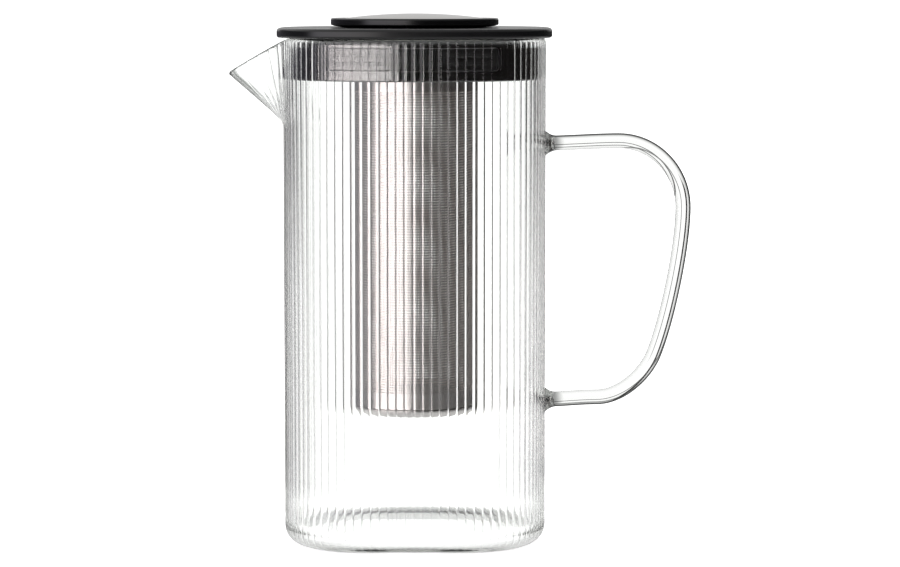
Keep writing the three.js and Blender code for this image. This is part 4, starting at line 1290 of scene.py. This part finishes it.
own = node(tree, "GeometryNodeInputNamedAttribute", {"Name": "grid_index"}, data_type="FLOAT")
level = node(tree, MATH, {0: own, 1: levels}, operation="MODULO")
column = node(tree, MATH, {0: node(tree, MATH, {0: own, 1: levels}, operation="DIVIDE")}, operation="FLOOR")
above = node(tree, MATH, {0: level, 1: 1}, operation="SUBTRACT")
whole = node(tree, MATH, {0: node(tree, MATH, {0: above, 1: 2}, operation="DIVIDE")}, operation="FLOOR")
upper = node(tree, MATH, {0: above, 1: 2}, operation="MODULO")
row_z = node(tree, MATH, {0: whole, 1: size["Row Pitch"], 2: size["First Row"]}, operation="MULTIPLY_ADD")
level_z = node(tree, MATH, {0: upper, 1: size["Hole Height"], 2: row_z}, operation="MULTIPLY_ADD")
at_bottom = node(tree, MATH, {0: level, 1: HALF_LEVEL}, operation="LESS_THAN")
under_top = node(tree, MATH, {0: bands, 1: HALF_LEVEL}, operation="SUBTRACT")
at_top = node(tree, MATH, {0: level, 1: under_top}, operation="GREATER_THAN")
with_bottom = node(tree, MIX, {0: at_bottom, MIX_VALUE_A: level_z, MIX_VALUE_B: size["Bottom"]})
z = node(tree, MIX, {0: at_top, MIX_VALUE_A: with_bottom, MIX_VALUE_B: size["Top"]})
print("tube: each row of holes has a lower and an upper level")

# %% [markdown]
# The sheet is wrapped into a tube and merged along its seam, and extruding it outwards gives it its
# thickness. The walls of the holes and the inner skin are marked as inside, for the pale matte shading
# there, painted light that stands in for the light seen through the holes.

# %% Perforated tube, part three: wrap and thicken
whole_turn = node(tree, MATH, {0: column, 1: math.tau}, operation="MULTIPLY")
angle = node(tree, MATH, {0: whole_turn, 1: size["Columns"]}, operation="DIVIDE")
inner = node(tree, MATH, {0: size["Radius"], 1: size["Sheet"]}, operation="SUBTRACT")
x = node(tree, MATH, {0: node(tree, MATH, {0: angle}, operation="COSINE"), 1: inner}, operation="MULTIPLY")
y = node(tree, MATH, {0: node(tree, MATH, {0: angle}, operation="SINE"), 1: inner}, operation="MULTIPLY")
about_axis = node(tree, "ShaderNodeCombineXYZ", {"X": x, "Y": y, "Z": z})
in_place = node(tree, VECTOR, {0: about_axis, 1: size["Axis"]}, operation="ADD")
wrapped = node(tree, "GeometryNodeSetPosition", {"Geometry": sheet, "Position": in_place})
seamed = node(tree, "GeometryNodeMergeByDistance", {"Geometry": wrapped, "Distance": MERGE_WITHIN})
thickened = {"Mesh": seamed, "Offset Scale": size["Sheet"], "Individual": False}
outer_skin = node(tree, "GeometryNodeExtrudeMesh", thickened, mode="FACES")
inner_skin = node(tree, "GeometryNodeFlipFaces", {"Mesh": seamed})
skins = []
for skin, inside in ((outer_skin, outer_skin.outputs["Side"]), (inner_skin, 1)):
    marks = {"Geometry": skin.outputs["Mesh"], "Name": "inside", "Value": inside}
    skins.append(node(tree, STORE, marks, data_type="FLOAT", domain="FACE"))
both = node(tree, "GeometryNodeJoinGeometry", {0: skins[0]})
tree.links.new(skins[1].outputs[0], both.inputs[0])
closed = node(tree, "GeometryNodeMergeByDistance", {"Geometry": both, "Distance": MERGE_WITHIN})
bare = node(tree, "GeometryNodeRemoveAttribute", {"Geometry": closed, "Name": "grid_index"})
end_tree(tree, bare, size["Material"])

# %% [markdown]
# The same tree runs once for each of three lengths of the tube, which keeps each mesh light enough to
# handle. The lengths meet in the middle of the plain sheet between two rows, so no seam shows.

# %% The infuser's tube
ROW_PITCH = 1.086
HOLE_HEIGHT = 0.5
FIRST_ROW = 62.7
TUBE_COLUMNS = 328
SHEET = 0.18
LENGTHS = {"low": (0, 38), "middle": (38, 77), "high": (77, 115)}

tube_radius, tube_bottom, tube_top = extent("infuser_tube")
last_row = max(rows[1] for rows in LENGTHS.values())
plain = (ROW_PITCH - HOLE_HEIGHT) / 2
for part, (from_row, to_row) in LENGTHS.items():
    first = FIRST_ROW + from_row * ROW_PITCH
    ends = FIRST_ROW + to_row * ROW_PITCH - plain
    carrier = bpy.data.objects.new("tube_seed", bpy.data.meshes.new("tube_seed"))
    run(
        tube_tree,
        carrier,
        infuser_steel,
        radius=tube_radius * MM,
        sheet=SHEET * MM,
        bottom=(tube_bottom if from_row == 0 else first - plain) * MM,
        top=(tube_top if to_row == last_row else ends) * MM,
        first_row=first * MM,
        row_pitch=ROW_PITCH * MM,
        hole_height=HOLE_HEIGHT * MM,
        rows=to_row - from_row,
        columns=TUBE_COLUMNS,
    )
    sheet_part = settle(carrier, "infuser_sheet_" + part)
    place_piece(sheet_part, "infuser", "infuser_tube")

# %% [markdown]
# A flanged ring at the top carries the infuser in the lid. It is a plain turned piece with softened
# edges, and it holds the tube by a sleeve inside it.

# %% Rim of the infuser
TURNED = {"points_round": 128}
SPIGOT_WALL = 0.9
TUBE_WALL = 0.8
SEAT_GAP = 0.3
FLANGE_THICK = 1.2
FLANGE_EDGE = 0.4
MOUTH_EDGE = 0.6

spigot = tube_radius - TUBE_WALL - SEAT_GAP
bore = spigot - SPIGOT_WALL
flange, rim_bottom, flange_top = extent("infuser_rim")
flange_bottom = flange_top - FLANGE_THICK
rim_section = rounded([
    (bore, rim_bottom, EDGE_BREAK),
    (spigot, rim_bottom, EDGE_BREAK),
    (spigot, flange_bottom, EDGE_BREAK),
    (flange, flange_bottom, FLANGE_EDGE),
    (flange, flange_top, FLANGE_EDGE),
    (bore, flange_top, MOUTH_EDGE),
], closed=True)


def turned_shares(points):
    """Marks a whole section as round."""
    return {"round": [1.0] * len(points)}


infuser_rim = lathe("infuser_flange", rim_section, infuser_steel, turned_shares(rim_section), **TURNED)
place_piece(infuser_rim, "infuser", "infuser_rim")

# %% [markdown]
# A pressed cup closes the bottom, with a round lower edge and a sleeve like that of the rim. The seam
# where it meets the tube shows as a fine line.

# %% Bottom cup of the infuser
BASE_ROUND = 2.5
BASE_HEIGHT = 3.1
BASE_FLOOR = 0.9
SEAM_EDGE = 0.2

cup_radius, cup_bottom, cup_top = extent("infuser_base")
seam = cup_bottom + BASE_HEIGHT
cup_section = rounded([
    (0, cup_bottom, 0),
    (cup_radius, cup_bottom, BASE_ROUND),
    (cup_radius, seam, SEAM_EDGE),
    (spigot, seam, EDGE_BREAK),
    (spigot, cup_top, EDGE_BREAK),
    (bore, cup_top, EDGE_BREAK),
    (bore, cup_bottom + BASE_FLOOR, BASE_ROUND - BASE_FLOOR),
    (0, cup_bottom + BASE_FLOOR, 0),
])
infuser_base = lathe("infuser_cup", cup_section, infuser_steel, turned_shares(cup_section), **TURNED)
place_piece(infuser_base, "infuser", "infuser_base")

# %% [markdown]
# ## Cap
# The cap fills the hole in the cover. Its knob is a flat moulding whose edge is undercut, so that fingers
# get under it, with a shallow recess in the top for the steel disc.

# %% Knob
KNOB_NECK = 3.2
KNOB_EDGE = 2.8
KNOB_ROUND = 0.8
NECK_ROUND = 1.0
UNDERCUT_ROUND = 0.5
DOME_GAP = 0.3
DOME_RECESS = 0.9

knob_radius, knob_bottom, knob_top = extent("cap_knob")
dome_radius, dome_bottom, dome_top = extent("steel_dome")
recess_radius = dome_radius + DOME_GAP
knob_section = rounded([
    (0, knob_bottom, 0),
    (knob_radius - KNOB_NECK, knob_bottom, NECK_ROUND),
    (knob_radius, knob_top - KNOB_EDGE, UNDERCUT_ROUND),
    (knob_radius, knob_top, KNOB_ROUND),
    (recess_radius, knob_top, EDGE_BREAK),
    (recess_radius, knob_top - DOME_RECESS, 0),
    (0, knob_top - DOME_RECESS, 0),
])
cap_knob = lathe("cap_grip", knob_section, black_plastic, turned_shares(knob_section), **TURNED)
place_piece(cap_knob, "cap", "cap_knob")

# %% [markdown]
# Under the knob a hollow plug goes down into the filling hole, with a groove round it for a soft ring.

# %% Plug
PLUG_WALL = 2.2
PLUG_TOP = 2
PLUG_ROUND = 0.6
SEAL_GROOVE = 1
GROOVE_EDGE = 0.15

plug_radius, plug_bottom, plug_top = extent("cap_plug")
seal_radius, seal_bottom, seal_top = extent("cap_seal")
seal_seat = plug_radius - SEAL_GROOVE
plug_section = rounded([
    (0, plug_top - PLUG_TOP, 0),
    (plug_radius - PLUG_WALL, plug_top - PLUG_TOP, PLUG_ROUND),
    (plug_radius - PLUG_WALL, plug_bottom, EDGE_BREAK),
    (plug_radius, plug_bottom, EDGE_BREAK),
    (plug_radius, seal_bottom - SEAT_GAP, GROOVE_EDGE),
    (seal_seat, seal_bottom - SEAT_GAP, GROOVE_EDGE),
    (seal_seat, seal_top + SEAT_GAP, GROOVE_EDGE),
    (plug_radius, seal_top + SEAT_GAP, GROOVE_EDGE),
    (plug_radius, plug_top, EDGE_BREAK),
    (0, plug_top, 0),
])
cap_plug = lathe("cap_stopper", plug_section, black_plastic, turned_shares(plug_section), **TURNED)
place_piece(cap_plug, "cap", "cap_plug")

# %% [markdown]
# The ring is cast silicone with a blunt lip at the middle of its height, which bends a little as the cap
# goes in.

# %% Ring of the plug
SHOULDER_ROUND = 0.2
SEAL_LIP = 0.3

seal_middle = (seal_bottom + seal_top) / 2
seal_section = rounded([
    (seal_seat + SEAT_GAP, seal_bottom, GROOVE_EDGE),
    (plug_radius, seal_bottom, SHOULDER_ROUND),
    (seal_radius, seal_middle, SEAL_LIP),
    (plug_radius, seal_top, SHOULDER_ROUND),
    (seal_seat + SEAT_GAP, seal_top, GROOVE_EDGE),
], closed=True)
cap_seal = lathe("cap_ring", seal_section, black_silicone, turned_shares(seal_section), **TURNED)
place_piece(cap_seal, "cap", "cap_seal")

# %% [markdown]
# The disc is pressed from sheet into a very shallow dome, part of a large sphere, and buffed. The radius
# of that sphere follows from the width of the disc and the height of its crown.

# %% Dome
DOME_RIM = 0.5
DOME_STEPS = 16

crown = dome_top - dome_bottom - DOME_RIM
sphere = (dome_radius ** 2 + crown ** 2) / (2 * crown)
dome_section = [Vector((0, dome_bottom)), Vector((dome_radius, dome_bottom))]
for step in range(DOME_STEPS + 1):
    at = dome_radius * (1 - step / DOME_STEPS)
    dome_section.append(Vector((at, dome_top - sphere + math.sqrt(sphere ** 2 - at ** 2))))
steel_dome = lathe("dome_disc", dome_section, dome_steel, turned_shares(dome_section), **TURNED)
place_piece(steel_dome, "cap", "steel_dome")
